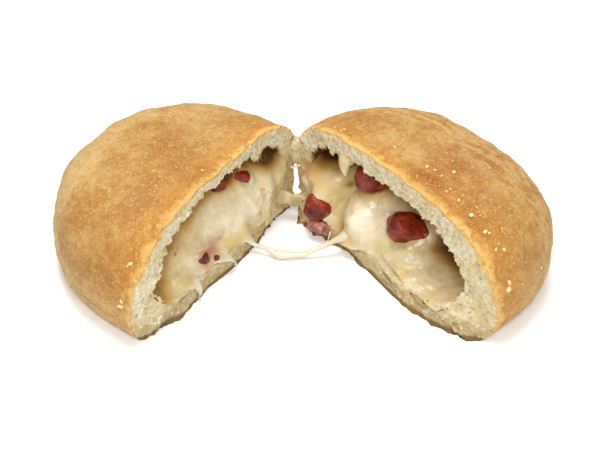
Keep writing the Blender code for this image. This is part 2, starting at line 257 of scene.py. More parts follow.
def torn_rim(half, turn):
    """The outer edge of the torn face, where the skin broke."""
    edge = crust_outside(half, turn, 0.0)
    edge[:, 1] = CRAG * crag(half, turn, 0.0) - overhang(half, turn, edge[:, 0])
    return edge


def hollow_rim(half, turn):
    """The inner edge of the torn face, ragged and with tips that hang down from the roof."""
    across, up = np.cos(turn), np.sin(turn)
    edge = crust_inside(half, turn, 0.0)
    edge[:, 1] = HOLLOW_SET_BACK + CRAG * crag(half, turn, 5.0) - overhang(half, turn, edge[:, 0])
    wander = CRAG * crag(half, turn, 9.0)
    wander = np.where(up < 0.3, np.abs(wander), wander)
    edge[:, 0] += wander * across
    edge[:, 2] += wander * up
    for tip_x, tip_width, tip_drop in half["tips"]:
        edge[:, 2] -= np.where(up > 0, tip_drop * bell(edge[:, 0] - tip_x, tip_width), 0.0)
    return edge


def turns(segments):
    """Turns round the mouth in radians: 0 at its right corner and a quarter turn at its top."""
    return np.linspace(-math.pi, math.pi, segments, endpoint=False)


def in_metres(half, points):
    """Points of a half's own frame, in mm, as they stand on the table, in metres."""
    cos, sin = math.cos(half["bearing"]), math.sin(half["bearing"])
    x, y = half["place"]
    placed = np.stack(
        [
            x + points[..., 0] * cos - points[..., 1] * sin,
            y + points[..., 0] * sin + points[..., 1] * cos,
            points[..., 2],
        ],
        axis=-1,
    )
    return placed * MM


def put_in_scene(name, mesh, material=None):
    """A new piece in the scene with this mesh, shaded smooth."""
    made = bpy.data.objects.new(name, mesh)
    bpy.context.scene.collection.objects.link(made)
    if material:
        mesh.materials.append(material)
    for face in mesh.polygons:
        face.use_smooth = True
    return made


def carry(mesh, values):
    """Gives each point of a mesh its values, which the finishes and the relief read by name."""
    for key, value in values.items():
        told = np.asarray(value, dtype=np.float32).reshape(-1)
        mesh.attributes.new(key, "FLOAT", "POINT").data.foreach_set("value", told)


def wrapped_mesh(name, rings, attributes, joined=False):
    """A closed skin over rings of points. It ends in a pole at both ends, or joins up there.

    rings is (ring, segment, 3) in metres, and each attribute is a (ring, segment) array. The
    first and the last ring of a skin with poles are all one point.
    """
    count, segments = rings.shape[:2]
    here = np.arange(segments)
    there = np.roll(here, -1)
    if joined:
        points = rings.reshape(-1, 3)
        index = np.arange(count * segments).reshape(count, segments)
        values = {key: value.reshape(-1) for key, value in attributes.items()}
        bands = [(index[k], index[(k + 1) % count]) for k in range(count)]
        faces = []
    else:
        points = np.concatenate([rings[:1, 0], rings[1:-1].reshape(-1, 3), rings[-1:, 0]])
        index = 1 + np.arange((count - 2) * segments).reshape(count - 2, segments)
        values = {
            key: np.concatenate([value[:1, 0], value[1:-1].reshape(-1), value[-1:, 0]])
            for key, value in attributes.items()
        }
        bands = [(index[k], index[k + 1]) for k in range(count - 3)]
        last = len(points) - 1
        faces = [(0, a, b) for a, b in zip(index[0][there], index[0][here])]
        faces += [(last, a, b) for a, b in zip(index[-1][here], index[-1][there])]
    for above, below in bands:
        quads = np.stack([above[here], above[there], below[there], below[here]], axis=1)
        faces += [tuple(quad) for quad in quads.tolist()]
    mesh = bpy.data.meshes.new(name)
    mesh.from_pydata(points.tolist(), [], faces)
    carry(mesh, values)
    face_outwards(mesh)
    return mesh


def face_outwards(mesh):
    """Turns the faces of a closed mesh round if they point inwards."""
    shape = bmesh.new()
    shape.from_mesh(mesh)
    if shape.calc_volume(signed=True) < 0:
        bmesh.ops.reverse_faces(shape, faces=shape.faces)
        shape.to_mesh(mesh)
    shape.free()


def node(tree, kind, inputs=None, **settings):
    """A node with its settings, whose inputs take a value or another node's output."""
    made = tree.nodes.new(kind)
    for key, value in settings.items():
        setattr(made, key, value)
    for key, value in (inputs or {}).items():
        if isinstance(value, bpy.types.NodeSocket):
            tree.links.new(value, made.inputs[key])
        else:
            made.inputs[key].default_value = value
    return made


def maths(tree, operation, first, second, third=0.0):
    """The result of one sum on values or other nodes' outputs."""
    return node(tree, "ShaderNodeMath", {0: first, 1: second, 2: third}, operation=operation).outputs[0]


def ramp(tree, value, low, high, start=0.0, end=1.0):
    """Value eased from start to end as it goes from low to high."""
    places = {"Value": value, "From Min": low, "From Max": high, "To Min": start, "To Max": end}
    return node(tree, "ShaderNodeMapRange", places, interpolation_type="SMOOTHSTEP").outputs[0]


def noise_value(tree, place, size, detail=2.0, seed=0.0, roughness=0.5):
    """Soft noise whose lumps are about size metres wide, from 0 to 1."""
    inputs = {"Vector": place, "W": seed, "Scale": 1.0 / size, "Detail": detail, "Roughness": roughness}
    return node(tree, "ShaderNodeTexNoise", inputs, noise_dimensions="4D").outputs[0]


def cell_value(tree, place, size, seed=0.0):
    """Distance to the middle of irregular cells about size metres wide, in cell widths."""
    inputs = {"Vector": place, "W": seed, "Scale": 1.0 / size}
    return node(tree, "ShaderNodeTexVoronoi", inputs, voronoi_dimensions="4D").outputs["Distance"]


def paint(red, green, blue):
    """A colour given as it looks on a screen, from 0 to 255, as the shader's own light values."""
    screen = np.array([red, green, blue]) / 255.0
    light = np.where(screen <= 0.04045, screen / 12.92, ((screen + 0.055) / 1.055) ** 2.4)
    return (*light.tolist(), 1.0)


def blend_colour(tree, share, first, second):
    """The first colour at a share of 0, the second at 1, and a blend of them between."""
    made = node(tree, "ShaderNodeMix", {0: share}, data_type="RGBA")
    for socket, value in ((made.inputs[6], first), (made.inputs[7], second)):
        if isinstance(value, bpy.types.NodeSocket):
            tree.links.new(value, socket)
        else:
            socket.default_value = value
    return made.outputs[2]


def tinted(tree, colour, value, low, high, strength, shade):
    """The colour turned towards a shade, by up to strength, as a value goes from low to high."""
    return blend_colour(tree, ramp(tree, value, low, high, 0.0, strength), colour, paint(*shade))


def marked(tree, colour, name, shade):
    """The colour turned towards a shade as far as the mesh's attribute of this name says."""
    return blend_colour(tree, attribute(tree, name), colour, paint(*shade))


def new_material(name):
    """A new material, with its node tree and its shader."""
    material = bpy.data.materials.new(name)
    material.use_nodes = True
    tree = material.node_tree
    return material, tree, tree.nodes["Principled BSDF"]


def set_finish(shader, **settings):
    """Sets the shader's own sockets, named in small letters with _ for each space."""
    names = {socket.name.lower().replace(" ", "_"): socket.name for socket in shader.inputs}
    for key, value in settings.items():
        shader.inputs[names[key]].default_value = value


def attribute(tree, name):
    """The mesh's own value of this name, at each point of its surface."""
    return node(tree, "ShaderNodeAttribute", attribute_name=name).outputs["Fac"]


def bump(tree, shader, height, distance, strength):
    """Fine relief in the finish alone, this many metres high."""
    inputs = {"Height": height, "Distance": distance, "Strength": strength}
    tree.links.new(node(tree, "ShaderNodeBump", inputs).outputs[0], shader.inputs["Normal"])


def modelled(piece, tree, finish, inputs):
    """Runs a geometry tree on a piece with these named inputs and keeps the result as plain mesh."""
    modifier = piece.modifiers.new(tree.name, "NODES")
    modifier.node_group = tree
    for item in tree.interface.items_tree:
        if item.name == "Finish":
            modifier[item.identifier] = finish
        elif item.name in inputs:
            modifier[item.identifier] = inputs[item.name]
    bpy.context.view_layer.update()
    made = bpy.data.meshes.new_from_object(piece.evaluated_get(bpy.context.evaluated_depsgraph_get()))
    piece.modifiers.remove(modifier)
    piece.data = made
    for face in made.polygons:
        face.use_smooth = True


def geometry_tree(name, floats):
    """A geometry tree with named number inputs and a finish, and its input and output nodes."""
    tree = bpy.data.node_groups.new(name, "GeometryNodeTree")
    tree.interface.new_socket("Geometry", in_out="INPUT", socket_type="NodeSocketGeometry")
    tree.interface.new_socket("Geometry", in_out="OUTPUT", socket_type="NodeSocketGeometry")
    for label, value in floats.items():
        socket = tree.interface.new_socket(label, in_out="INPUT", socket_type="NodeSocketFloat")
        socket.default_value = value
    tree.interface.new_socket("Finish", in_out="INPUT", socket_type="NodeSocketMaterial")
    return tree, tree.nodes.new("NodeGroupInput"), tree.nodes.new("NodeGroupOutput")


def finish_tree(tree, geometry, entry, result):
    """Ends a geometry tree with plain geometry in its finish."""
    realized = node(tree, "GeometryNodeRealizeInstances", {0: geometry}).outputs[0]
    inputs = {"Geometry": realized, "Material": entry.outputs["Finish"]}
    tree.links.new(node(tree, "GeometryNodeSetMaterial", inputs).outputs[0], result.inputs[0])


def named_value(tree, name):
    """The value of this name that the piece's points carry."""
    return node(tree, "GeometryNodeInputNamedAttribute", {"Name": name}, data_type="FLOAT").outputs[0]


def relief_tree():
    """Raises and pits a surface: swells, tufts, grains and pores, each with a size and a depth.

    The relief attribute says where it shows, from 0 to 1, and the raised attribute is set to
    how far each point was lifted, in mm.
    """
    labels = {"Swell size": 0.012, "Swell depth": 0.0, "Tuft size": 0.0035, "Tuft depth": 0.0}
    labels |= {"Grain size": 0.0012, "Grain depth": 0.0, "Pore size": 0.003, "Pore depth": 0.0}
    labels |= {"Pore share": 0.4, "Ruffle size": 0.0016, "Ruffle depth": 0.0, "Seed": 0.0}
    tree, entry, result = geometry_tree("surface_relief", labels)
    place = node(tree, "GeometryNodeInputPosition").outputs[0]
    normal = node(tree, "GeometryNodeInputNormal").outputs[0]

    def sized(kind, size, **settings):
        scale = maths(tree, "DIVIDE", 1.0, entry.outputs[size])
        inputs = {"Vector": place, "W": entry.outputs["Seed"], "Scale": scale}
        return node(tree, kind, inputs, **settings)

    swell = sized("ShaderNodeTexNoise", "Swell size", noise_dimensions="4D").outputs[0]
    tuft = sized("ShaderNodeTexNoise", "Tuft size", noise_dimensions="4D").outputs[0]
    grain = sized("ShaderNodeTexVoronoi", "Grain size", voronoi_dimensions="4D").outputs["Distance"]
    pores = sized("ShaderNodeTexVoronoi", "Pore size", voronoi_dimensions="4D")
    chosen = node(tree, "ShaderNodeSeparateXYZ", {0: pores.outputs["Color"]}).outputs[0]
    open_pore = maths(tree, "LESS_THAN", chosen, entry.outputs["Pore share"])
    pore = maths(tree, "MULTIPLY", ramp(tree, pores.outputs["Distance"], 0.16, 0.42, -1.0, 0.0), open_pore)
    terms = (
        (maths(tree, "SUBTRACT", swell, 0.5), "Swell depth"),
        (maths(tree, "SUBTRACT", tuft, 0.5), "Tuft depth"),
        (maths(tree, "SUBTRACT", 0.45, grain), "Grain depth"),
        (pore, "Pore depth"),
    )
    total = 0.0
    for value, depth in terms:
        total = maths(tree, "MULTIPLY_ADD", value, entry.outputs[depth], total)
    relief = named_value(tree, "relief")
    raised = maths(tree, "MULTIPLY", total, relief)
    lift = node(tree, "ShaderNodeVectorMath", {0: normal, "Scale": raised}, operation="SCALE").outputs[0]
    ruffle = sized("ShaderNodeTexNoise", "Ruffle size", noise_dimensions="4D").outputs["Color"]
    centred = {0: ruffle, 1: (0.5, 0.5, 0.5)}
    ruffle = node(tree, "ShaderNodeVectorMath", centred, operation="SUBTRACT").outputs[0]
    width = maths(tree, "MULTIPLY", relief, entry.outputs["Ruffle depth"])
    sway = node(tree, "ShaderNodeVectorMath", {0: ruffle, "Scale": width}, operation="SCALE").outputs[0]
    offset = node(tree, "ShaderNodeVectorMath", {0: lift, 1: sway}, operation="ADD").outputs[0]
    moved = node(tree, "GeometryNodeSetPosition", {"Geometry": entry.outputs[0], "Offset": offset})
    told = {"Geometry": moved.outputs[0], "Name": "raised", "Value": maths(tree, "DIVIDE", raised, MM)}
    kept = node(tree, "GeometryNodeStoreNamedAttribute", told, data_type="FLOAT", domain="POINT")
    finish_tree(tree, kept.outputs[0], entry, result)
    return tree


def scatter_tree():
    """Strews small irregular bits over a surface, thickest where the strewn attribute is 1."""
    labels = {"Bits per square metre": 0.0, "Smallest": 0.3, "Seed": 0.0, "Bit size": 0.001}
    tree, entry, result = geometry_tree("strewn_bits", labels)
    density = maths(tree, "MULTIPLY", named_value(tree, "strewn"), entry.outputs["Bits per square metre"])
    seed = node(tree, "FunctionNodeFloatToInt", {0: entry.outputs["Seed"]}).outputs[0]
    spread = {"Mesh": entry.outputs[0], "Density": density, "Seed": seed}
    points = node(tree, "GeometryNodeDistributePointsOnFaces", spread).outputs["Points"]
    ball = node(tree, "GeometryNodeMeshIcoSphere", {"Radius": 0.5, "Subdivisions": 2}).outputs["Mesh"]
    shape = {"Vector": node(tree, "GeometryNodeInputPosition").outputs[0], "Scale": 1.7, "Detail": 1.0}
    dents = node(tree, "ShaderNodeTexNoise", shape).outputs["Color"]
    centred = node(tree, "ShaderNodeVectorMath", {0: dents, 1: (0.5, 0.5, 0.5)}, operation="SUBTRACT")
    dented = node(tree, "ShaderNodeVectorMath", {0: centred.outputs[0], "Scale": 0.9}, operation="SCALE")
    bit = node(tree, "GeometryNodeSetPosition", {"Geometry": ball, "Offset": dented.outputs[0]}).outputs[0]
    low = node(tree, "ShaderNodeCombineXYZ", {k: entry.outputs["Smallest"] for k in range(3)}).outputs[0]
    share = {"Min": low, "Max": (1.0, 1.0, 1.0), "Seed": seed}
    share = node(tree, "FunctionNodeRandomValue", share, data_type="FLOAT_VECTOR").outputs[0]
    size = {0: share, "Scale": entry.outputs["Bit size"]}
    size = node(tree, "ShaderNodeVectorMath", size, operation="SCALE").outputs[0]
    swing = {"Max": (math.tau, math.tau, math.tau), "Seed": seed}
    swing = node(tree, "FunctionNodeRandomValue", swing, data_type="FLOAT_VECTOR").outputs[0]
    laid = {"Points": points, "Instance": bit, "Rotation": swing, "Scale": size}
    strewn = node(tree, "GeometryNodeInstanceOnPoints", laid).outputs[0]
    smoothed = node(tree, "GeometryNodeSetShadeSmooth", {0: strewn}).outputs[0]
    finish_tree(tree, smoothed, entry, result)
    return tree


strewn_bits = scatter_tree()
surface_relief = relief_tree()


def dough_points(half, turn):
    """Rings of the baked dough from its far end over the tear to the end of the hollow."""
    outer, inner = torn_rim(half, turn), hollow_rim(half, turn)
    swings = np.linspace(0.0, math.pi / 2, SKIN_RINGS + 1)[:-1]
    tear = [half["reach"] * math.cos(swing) for swing in swings]
    rings = []
    for depth in tear:
        ring = crust_outside(half, turn, depth)
        ring[:, 1] += outer[:, 1] * max(0.0, 1.0 - depth / DRAWN_OUT) ** 2
        rings.append(ring)
    for share in np.linspace(0.0, 1.0, HIDDEN_BAND_RINGS + 1):
        rings.append(outer + (inner - outer) * share)
        tear.append(-share)
    end = half["reach"] - half["back_wall"]
    for deeper in np.linspace(0.0, 1.0, HOLLOW_RINGS + 1)[1:]:
        rings.append(crust_inside(half, turn, end * math.sin(math.pi / 2 * deeper)))
        tear.append(-1.0 - deeper)
    return np.stack(rings), np.repeat(np.array(tear)[:, None], len(turn), axis=1)


# The outside is not quite even: soft swells, wrinkles where the dough was folded and pressed
# shut along its base, and shallow ridges that run round the far side of the right half.
SWELL = 0.9
SWELL_LENGTH = 19.0
DIMPLE = 0.22
DIMPLE_LENGTH = 5.5
WRINKLES = ((14.0, 0.35), (10.5, 0.55), (7.0, 0.5), (3.8, 0.4))  # height on the side, and depth
WRINKLE_WIDTH = 0.65
WRINKLE_WANDER = 2.2  # how far a wrinkle strays up and down
WANDER_LENGTH = 14.0
WRINKLE_RISE = 0.05  # how much it climbs towards the far end
RIDGE = 0.16
RIDGE_LENGTH = 2.1
RIDGES_FROM = 0.32  # share of the reach behind which the ridges start
ROLLED_EDGE = 0.2
PATCHY_LENGTH = 11.0
BLOOM = {"left": (38.0, 7.0, 7.0), "right": (17.0, 6.0, 14.0)}  # depth, how patchy, and fade in
PATCHES_ABOVE = 20.0  # height above which the patches below show
STAINS = {  # browner patches: place along the mouth, depth from the tear, radius and strength
    "left": ((-4.0, 9.0, 9.0, 0.5), (-32.0, 13.0, 12.0, 0.6), (8.0, 30.0, 12.0, 0.3)),
    "right": (
        (-5.0, 6.2, 2.4, 0.5), (1.0, 6.6, 2.2, 0.6), (6.7, 7.2, 3.4, 1.0), (12.0, 6.4, 2.2, 0.7),
        (17.0, 6.0, 2.0, 0.5), (37.0, 5.0, 6.0, 0.5), (14.0, 24.0, 20.0, 0.85),
    ),
}
PALE_PLACES = {  # floury patches, in the same way
    "left": ((19.0, 19.0, 9.0, 0.35), (-23.0, 42.0, 10.0, 0.6), (34.0, 36.0, 12.0, 0.4)),
    "right": ((-4.0, 11.5, 5.0, 0.7), (-17.0, 12.0, 6.0, 0.6), (30.0, 42.0, 6.0, 0.3)),
}


def spots(places, x, level):
    """How strongly spots show at each place, from 0 to 1.

    A spot is given as its place along the mouth, its height or depth, its radius and its strength.
    """
    shown = 0.0
    for at, level_at, radius, strength in places:
        shown = shown + strength * bell(np.hypot(x - at, level - level_at), radius)
    return np.clip(shown, 0.0, 1.0)


def skin_form(half, rings, tear):
    """How far the skin stands out from its even form, in mm, how floury and brown it is, and how much paler
    its lower sides are painted as painted light.
    """
    x, y, z = rings[..., 0], rings[..., 1], rings[..., 2]
    outside = tear > 0
    free_side = smooth(0.5 - half["hinge"] * x / half["half_width"] * 1.4)
    above_base = smooth((z - 1.0) / 5.0)
    swell = rough(rings, SWELL_LENGTH, half["seed"]) * SWELL
    swell = swell + rough(rings, DIMPLE_LENGTH, half["seed"]) * DIMPLE
    stretched = rings * np.array([0.35, 1.0, 0.35])
    ring_ridges = rough(stretched, RIDGE_LENGTH, half["seed"] + 40.0, octaves=2)
    far = smooth((tear - RIDGES_FROM * half["reach"]) / 12.0)
    ridges = RIDGE * half["ridged"] * far * ring_ridges
    flattened = rings * np.array([1.0, 1.0, 0.25])
    wander = rough(flattened, WANDER_LENGTH, half["seed"] + 60.0, octaves=2)
    wrinkles = np.zeros_like(z)
    climb = WRINKLE_RISE * (tear - 30.0)
    for height, deep in WRINKLES:
        wrinkles += deep * bell(z - height - WRINKLE_WANDER * wander - climb, WRINKLE_WIDTH)
    wrinkled = half["wrinkled"] * free_side * smooth((tear - 3.0) / 8.0)
    edge = ROLLED_EDGE * bell(tear - 1.6, 1.5) * above_base
    form = swell * above_base * smooth(tear / 6.0) + ridges - wrinkles * wrinkled + edge
    form = np.where(tear < -0.1, -CRUMB_SEATING, np.where(outside, form, 0.0))
    patchy = rough(rings, PATCHY_LENGTH, half["seed"] + 80.0)
    starts, strays, fade = BLOOM[half["name"]]
    bloom = smooth((tear + strays * patchy - starts) / fade)
    if half is LEFT:
        bloom = bloom * smooth((z - 10.0) / 8.0)
    else:
        bloom = bloom * smooth(0.62 + 1.3 * ring_ridges)
    floury = np.clip(0.65 * bloom + 0.7 * wrinkled * smooth(wrinkles / 0.3), 0.0, 1.0)
    on_top = z > PATCHES_ABOVE
    # The lower sides are painted paler as painted light, where the lamps leave them darker; the pale edge
    # along the base is the crust's own colour.
    pale_base_and_painted_light = 0.9 * smooth((7.0 - z) / 5.0) + half["painted_light_side"] * smooth((26.0 - z) / 18.0)
    for more in (pale_base_and_painted_light, np.where(on_top, spots(PALE_PLACES[half["name"]], x, tear), 0.0)):
        floury = np.clip(floury + more, 0.0, 1.0)
    brown = np.where(on_top, spots(STAINS[half["name"]], x, tear), 0.0) * smooth(0.7 + patchy)
    return form, np.where(tear > -0.1, floury, 0.0), brown


def push_out(points, form):
    """Moves a grid of points along its own normals by the form, in the points' units."""
    along_ring = np.roll(points, -1, axis=1) - np.roll(points, 1, axis=1)
    across_rings = np.gradient(points, axis=0)
    normal = np.cross(along_ring, across_rings)
    length = np.linalg.norm(normal, axis=-1, keepdims=True)
    normal = np.where(length > 1e-9, normal / np.maximum(length, 1e-9), 0.0)
    middle = points.reshape(-1, 3).mean(axis=0)
    if np.sum(normal * (points - middle)) < 0:
        normal = -normal
    return points + normal * form[..., None]


def baked_skin():
    """Golden matt crust: finely mottled and speckled, warmer at the tear, paler where floury and where
    light is painted on its lower sides.
    """
    material, tree, shader = new_material("baked_skin")
    place = node(tree, "ShaderNodeTexCoord").outputs["Object"]
    tear = attribute(tree, "tear")
    floury = attribute(tree, "floury")
    patch = noise_value(tree, place, 0.012, detail=3.0, seed=1.0)
    mottle = noise_value(tree, place, 0.0032, detail=5.0, seed=2.0, roughness=0.65)
    speck = noise_value(tree, place, 0.0010, detail=3.0, seed=3.0, roughness=0.7)
    dot = cell_value(tree, place, 0.0024, seed=4.0)
    golden = blend_colour(tree, ramp(tree, patch, 0.34, 0.66), paint(164, 116, 50), paint(182, 142, 80))
    near = maths(tree, "MULTIPLY_ADD", patch, -14.0, tear)
    golden = tinted(tree, golden, near, 9.0, -7.0, 0.85, (188, 128, 44))
    near = maths(tree, "MULTIPLY_ADD", mottle, -7.0, tear)
    golden = tinted(tree, golden, near, 0.4, -3.4, 0.85, (222, 182, 106))
    golden = tinted(tree, golden, mottle, 0.54, 0.32, 0.5, (150, 98, 42))
    golden = tinted(tree, golden, mottle, 0.48, 0.68, 0.5, (198, 154, 96))
    golden = marked(tree, golden, "brown", (148, 90, 34))
    # The floury value also carries painted light on the lower sides, which turns the crust paler there.
    dusted = maths(tree, "MULTIPLY", floury, ramp(tree, mottle, 0.3, 0.62, 0.4, 0.85))
    golden = blend_colour(tree, dusted, golden, paint(202, 172, 114))
    golden = tinted(tree, golden, speck, 0.55, 0.68, 0.65, (220, 184, 132))
    golden = tinted(tree, golden, speck, 0.45, 0.32, 0.6, (134, 88, 40))
    golden = tinted(tree, golden, dot, 0.20, 0.10, 0.3, (220, 184, 128))
    # The hollow's inner walls take a dim crumb tan: the inside's own crumb colour, darkened as painted
    # shade.
    golden = tinted(tree, golden, tear, -0.1, -0.3, 1.0, (176, 146, 92))
    tree.links.new(golden, shader.inputs["Base Color"])
    set_finish(shader, roughness=0.62, specular_ior_level=0.25)
    fine = maths(tree, "MULTIPLY_ADD", speck, 0.5, mottle)
    bump(tree, shader, fine, 0.0005, 0.8)
    return material


def kept_inside(piece, box):
    """Holds a piece's points inside the box that the object fills."""
    points = np.empty(len(piece.data.vertices) * 3)
    piece.data.vertices.foreach_get("co", points)
    points = np.clip(points.reshape(-1, 3), np.array(box[0]), np.array(box[1]))
    piece.data.vertices.foreach_set("co", points.reshape(-1))
    piece.data.update()


def dress(piece, slot, *nodes):
    """Keeps a finished piece within the food's box and on its body, and hides the solids it stands for. The
    slot is not used.
    """
    kept_inside(piece, cad_box)
    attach(piece, "root")
    if nodes:
        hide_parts(*nodes)


baked_skin_finish = baked_skin()
SKIN_RELIEF = {"Tuft size": 0.0022, "Tuft depth": 0.00022, "Grain size": 0.0015, "Grain depth": 0.0001}
SKIN_RELIEF |= {"Pore size": 0.0024, "Pore depth": 0.00016, "Pore share": 0.3}

for half in (LEFT, RIGHT):
    turn = turns(SKIN_SEGMENTS)
    rings, tear = dough_points(half, turn)
    form, floury, brown = skin_form(half, rings, tear)
    pushed = push_out(rings, form)
    pushed[..., 2] = np.where(rings[..., 2] <= 0.0, 0.0, np.maximum(pushed[..., 2], 0.0))
    fine = smooth((rings[..., 2] - 0.2) / 2.0) * np.where(tear > 0, smooth(tear / 0.8), 0.0)
    values = {"tear": tear, "floury": floury, "brown": brown, "relief": fine}
    mesh = wrapped_mesh(f"baked_dough_{half['name']}", in_metres(half, pushed), values)
    dough = put_in_scene(f"baked_dough_{half['name']}", mesh)
    modelled(dough, surface_relief, baked_skin_finish, SKIN_RELIEF | {"Seed": half["seed"]})
    dress(dough, "crust", f"crust_{half['name']}")

# ============================================================================== torn crumb
# The open crumb round each mouth: soft white dough pulled apart, with tufts, pores and a ragged
# fringe. It is one ring of its own that sits on the dough behind it.

CRUMB_SEGMENTS = 1100
CRUMB_FACE = 62
CRUMB_INSIDE = 16
CRUMB_BACK = 5
CRUMB_TURN_IN = 7.0  # how far the open crumb goes on into the hollow
CRUMB_SUNK = 0.3  # how far it drops there below the wall that the cheese is pressed into
CRUMB_BEHIND = 1.5  # how far its hidden back is bowed away from the open face
EVENED = 160  # how often the middle of the torn face is evened out along the rim
LIP_WAVES = ((9.0, 1.1), (3.2, 0.7), (1.3, 0.3))  # length and depth of the base's broken edge
FRINGE = ((4.5, 1.1), (2.0, 0.8), (0.9, 0.4))  # length and depth of the ragged teeth
CRUMB_RELIEF = {"Swell size": 0.006, "Swell depth": 0.0014, "Tuft size": 0.0023, "Tuft depth": 0.0017}
CRUMB_RELIEF |= {"Grain size": 0.0010, "Grain depth": 0.0006, "Ruffle size": 0.0012, "Ruffle depth": 0.0006}
CRUMB_RELIEF |= {"Pore size": 0.0030, "Pore depth": 0.0008, "Pore share": 0.25}


def evened(edge):
    """A closed edge of points with its short bends smoothed away."""
    for _ in range(EVENED):
        edge = 0.5 * edge + 0.25 * (np.roll(edge, 1, axis=0) + np.roll(edge, -1, axis=0))
    return edge


def crumb_points(half, turn):
    """Rings of the torn crumb, and how far across its face each is: 0 at the skin, 1 inside."""
    outer, inner = torn_rim(half, turn), hollow_rim(half, turn)
    inwards = inner - outer
    inwards[:, 1] = 0.0
    inwards /= np.linalg.norm(inwards, axis=1, keepdims=True)
    for length, depth in FRINGE:
        teeth = rough(inner, length, half["seed"] + length, octaves=2) + 0.3
        standing = 0.2 + 0.8 * smooth((inner[:, 2] - 9.0) / 6.0)
        inner = inner + inwards * (teeth * depth * standing)[:, None]
    along_base = smooth((9.0 - outer[:, 2]) / 4.0)
    for length, depth in LIP_WAVES:
        outer[:, 1] += along_base * depth * rough(outer, length, half["seed"] + 7.0 + length, octaves=2)
    soft_outer, soft_inner = evened(outer), evened(inner)
    rings, across = [], []
    for share in np.linspace(0.0, 1.0, CRUMB_FACE):
        place = soft_outer + (soft_inner - soft_outer) * share
        place = place + (outer - soft_outer) * (1.0 - share) ** 4 + (inner - soft_inner) * share**4
        rings.append(place)
        across.append(share)
    wall = crust_inside(half, turn, CRUMB_TURN_IN, -CRUMB_SUNK)
    for share in np.linspace(0.0, 1.0, CRUMB_INSIDE + 1)[1:]:
        sunk = share**0.35
        rings.append(inner + (wall - inner) * np.array([sunk, share, sunk]))
        across.append(1.0 + share)
    start, end = rings[0], rings[-1]
    middle = (start + end) / 2
    middle[:, 1] = CRUMB_TURN_IN * 0.7
    for share in np.linspace(0.0, 1.0, CRUMB_BACK + 2)[1:-1]:
        behind = (1 - share) ** 2 * end + 2 * share * (1 - share) * middle + share**2 * start
        behind[:, 1] += CRUMB_BEHIND
        rings.append(behind)
        across.append(2.0)
    return np.stack(rings), np.repeat(np.array(across)[:, None], len(turn), axis=1)


def torn_crumb():
    """Cream crumb with painted highlight on its tufts and painted shade in its pores, golden where it meets
    the skin, browned by stain and painted shade in the hollow.
    """
    material, tree, shader = new_material("torn_crumb")
    place = node(tree, "ShaderNodeTexCoord").outputs["Object"]
    across = attribute(tree, "across")
    raised = attribute(tree, "raised")
    base = attribute(tree, "base")
    patch = noise_value(tree, place, 0.008, detail=3.0, seed=4.0)
    grain = noise_value(tree, place, 0.0014, detail=3.0, seed=5.0, roughness=0.55)
    cream = blend_colour(tree, ramp(tree, patch, 0.35, 0.65), paint(213, 203, 174), paint(205, 189, 145))
    cream = blend_colour(tree, base, cream, paint(182, 164, 120))
    # Painted highlight and shade on the relief: tufts and the tops of the grain paler, pores and the
    # grain's dips tan.
    cream = tinted(tree, cream, raised, 0.1, -0.7, 0.75, (176, 150, 102))
    cream = tinted(tree, cream, raised, 0.1, 0.7, 0.9, (238, 232, 214))
    cream = tinted(tree, cream, grain, 0.46, 0.32, 0.5, (178, 152, 104))
    cream = tinted(tree, cream, grain, 0.54, 0.68, 0.5, (238, 232, 214))
    ragged = maths(tree, "MULTIPLY_ADD", patch, -0.2, across)
    golden = maths(tree, "MULTIPLY", ramp(tree, ragged, 0.05, -0.12), ramp(tree, base, 0.6, 0.1))
    cream = blend_colour(tree, golden, cream, paint(218, 172, 92))
    cream = marked(tree, cream, "soaked", (192, 164, 108))
    # Dark brown from stain and painted shade, high on the hinge side and on the hollow's wall above the
    # cheese.
    cream = marked(tree, cream, "stained", (104, 58, 22))
    # Brown bottom edge: the baked base, with painted contact shadow along the floor.
    cream = marked(tree, cream, "crust", (120, 96, 58))
    tree.links.new(cream, shader.inputs["Base Color"])
    set_finish(
        shader,
        roughness=0.85,
        specular_ior_level=0.2,
        subsurface_weight=0.1,
        subsurface_radius=(0.0016, 0.0011, 0.0006),
    )
    bump(tree, shader, grain, 0.0006, 0.7)
    return material


torn_crumb_finish = torn_crumb()
torn_rims = {}
for half in (LEFT, RIGHT):
    turn = turns(CRUMB_SEGMENTS)
    rings, across = crumb_points(half, turn)
    x, z = rings[..., 0], rings[..., 2]
    standing = smooth((z - 0.1) / 1.2) * smooth(0.25 + across / 0.12)
    at_hinge = smooth((half["hinge"] * x - 0.25 * half["half_width"]) / 16.0)
    # Stain and painted shade: the crumb turns dark brown high on the hinge side of the torn face and on the
    # hollow's wall above the cheese, where the crust shades it.
    stained = at_hinge * smooth((across - 0.82) / 0.3) * smooth((z - 20.0) / 10.0)
    stained = np.maximum(stained, smooth((across - 1.0) / 0.3) * smooth((z - 15.0) / 6.0))
    # The crumb lies smooth where the cheese is pressed against it.
    under_cheese = smooth((across - 1.0) / 0.15)
    under_cheese = np.maximum(under_cheese, 0.6 * smooth((across - 0.8) / 0.2) * smooth((12.0 - z) / 3.0))
    values = {"across": across, "relief": standing * np.where(across < 2.0, 1.0 - under_cheese, 0.0)}
    # The crust value darkens the crumb's bottom edge to brown: the baked base, and painted shadow where it
    # meets the floor.
    values |= {"stained": stained, "base": smooth((8.5 - z) / 5.0), "crust": smooth((1.7 - z) / 0.9)}
    values["soaked"] = 0.7 * at_hinge * smooth((34.0 - z) / 10.0)
    mesh = wrapped_mesh(f"torn_crumb_{half['name']}", in_metres(half, rings), values, joined=True)
    crumb = put_in_scene(f"torn_crumb_{half['name']}", mesh)
    modelled(crumb, surface_relief, torn_crumb_finish, CRUMB_RELIEF | {"Seed": half["seed"] + 1.0})
    dress(crumb, "crust", f"crust_{half['name']}")
    torn_rims[half["name"]] = crumb

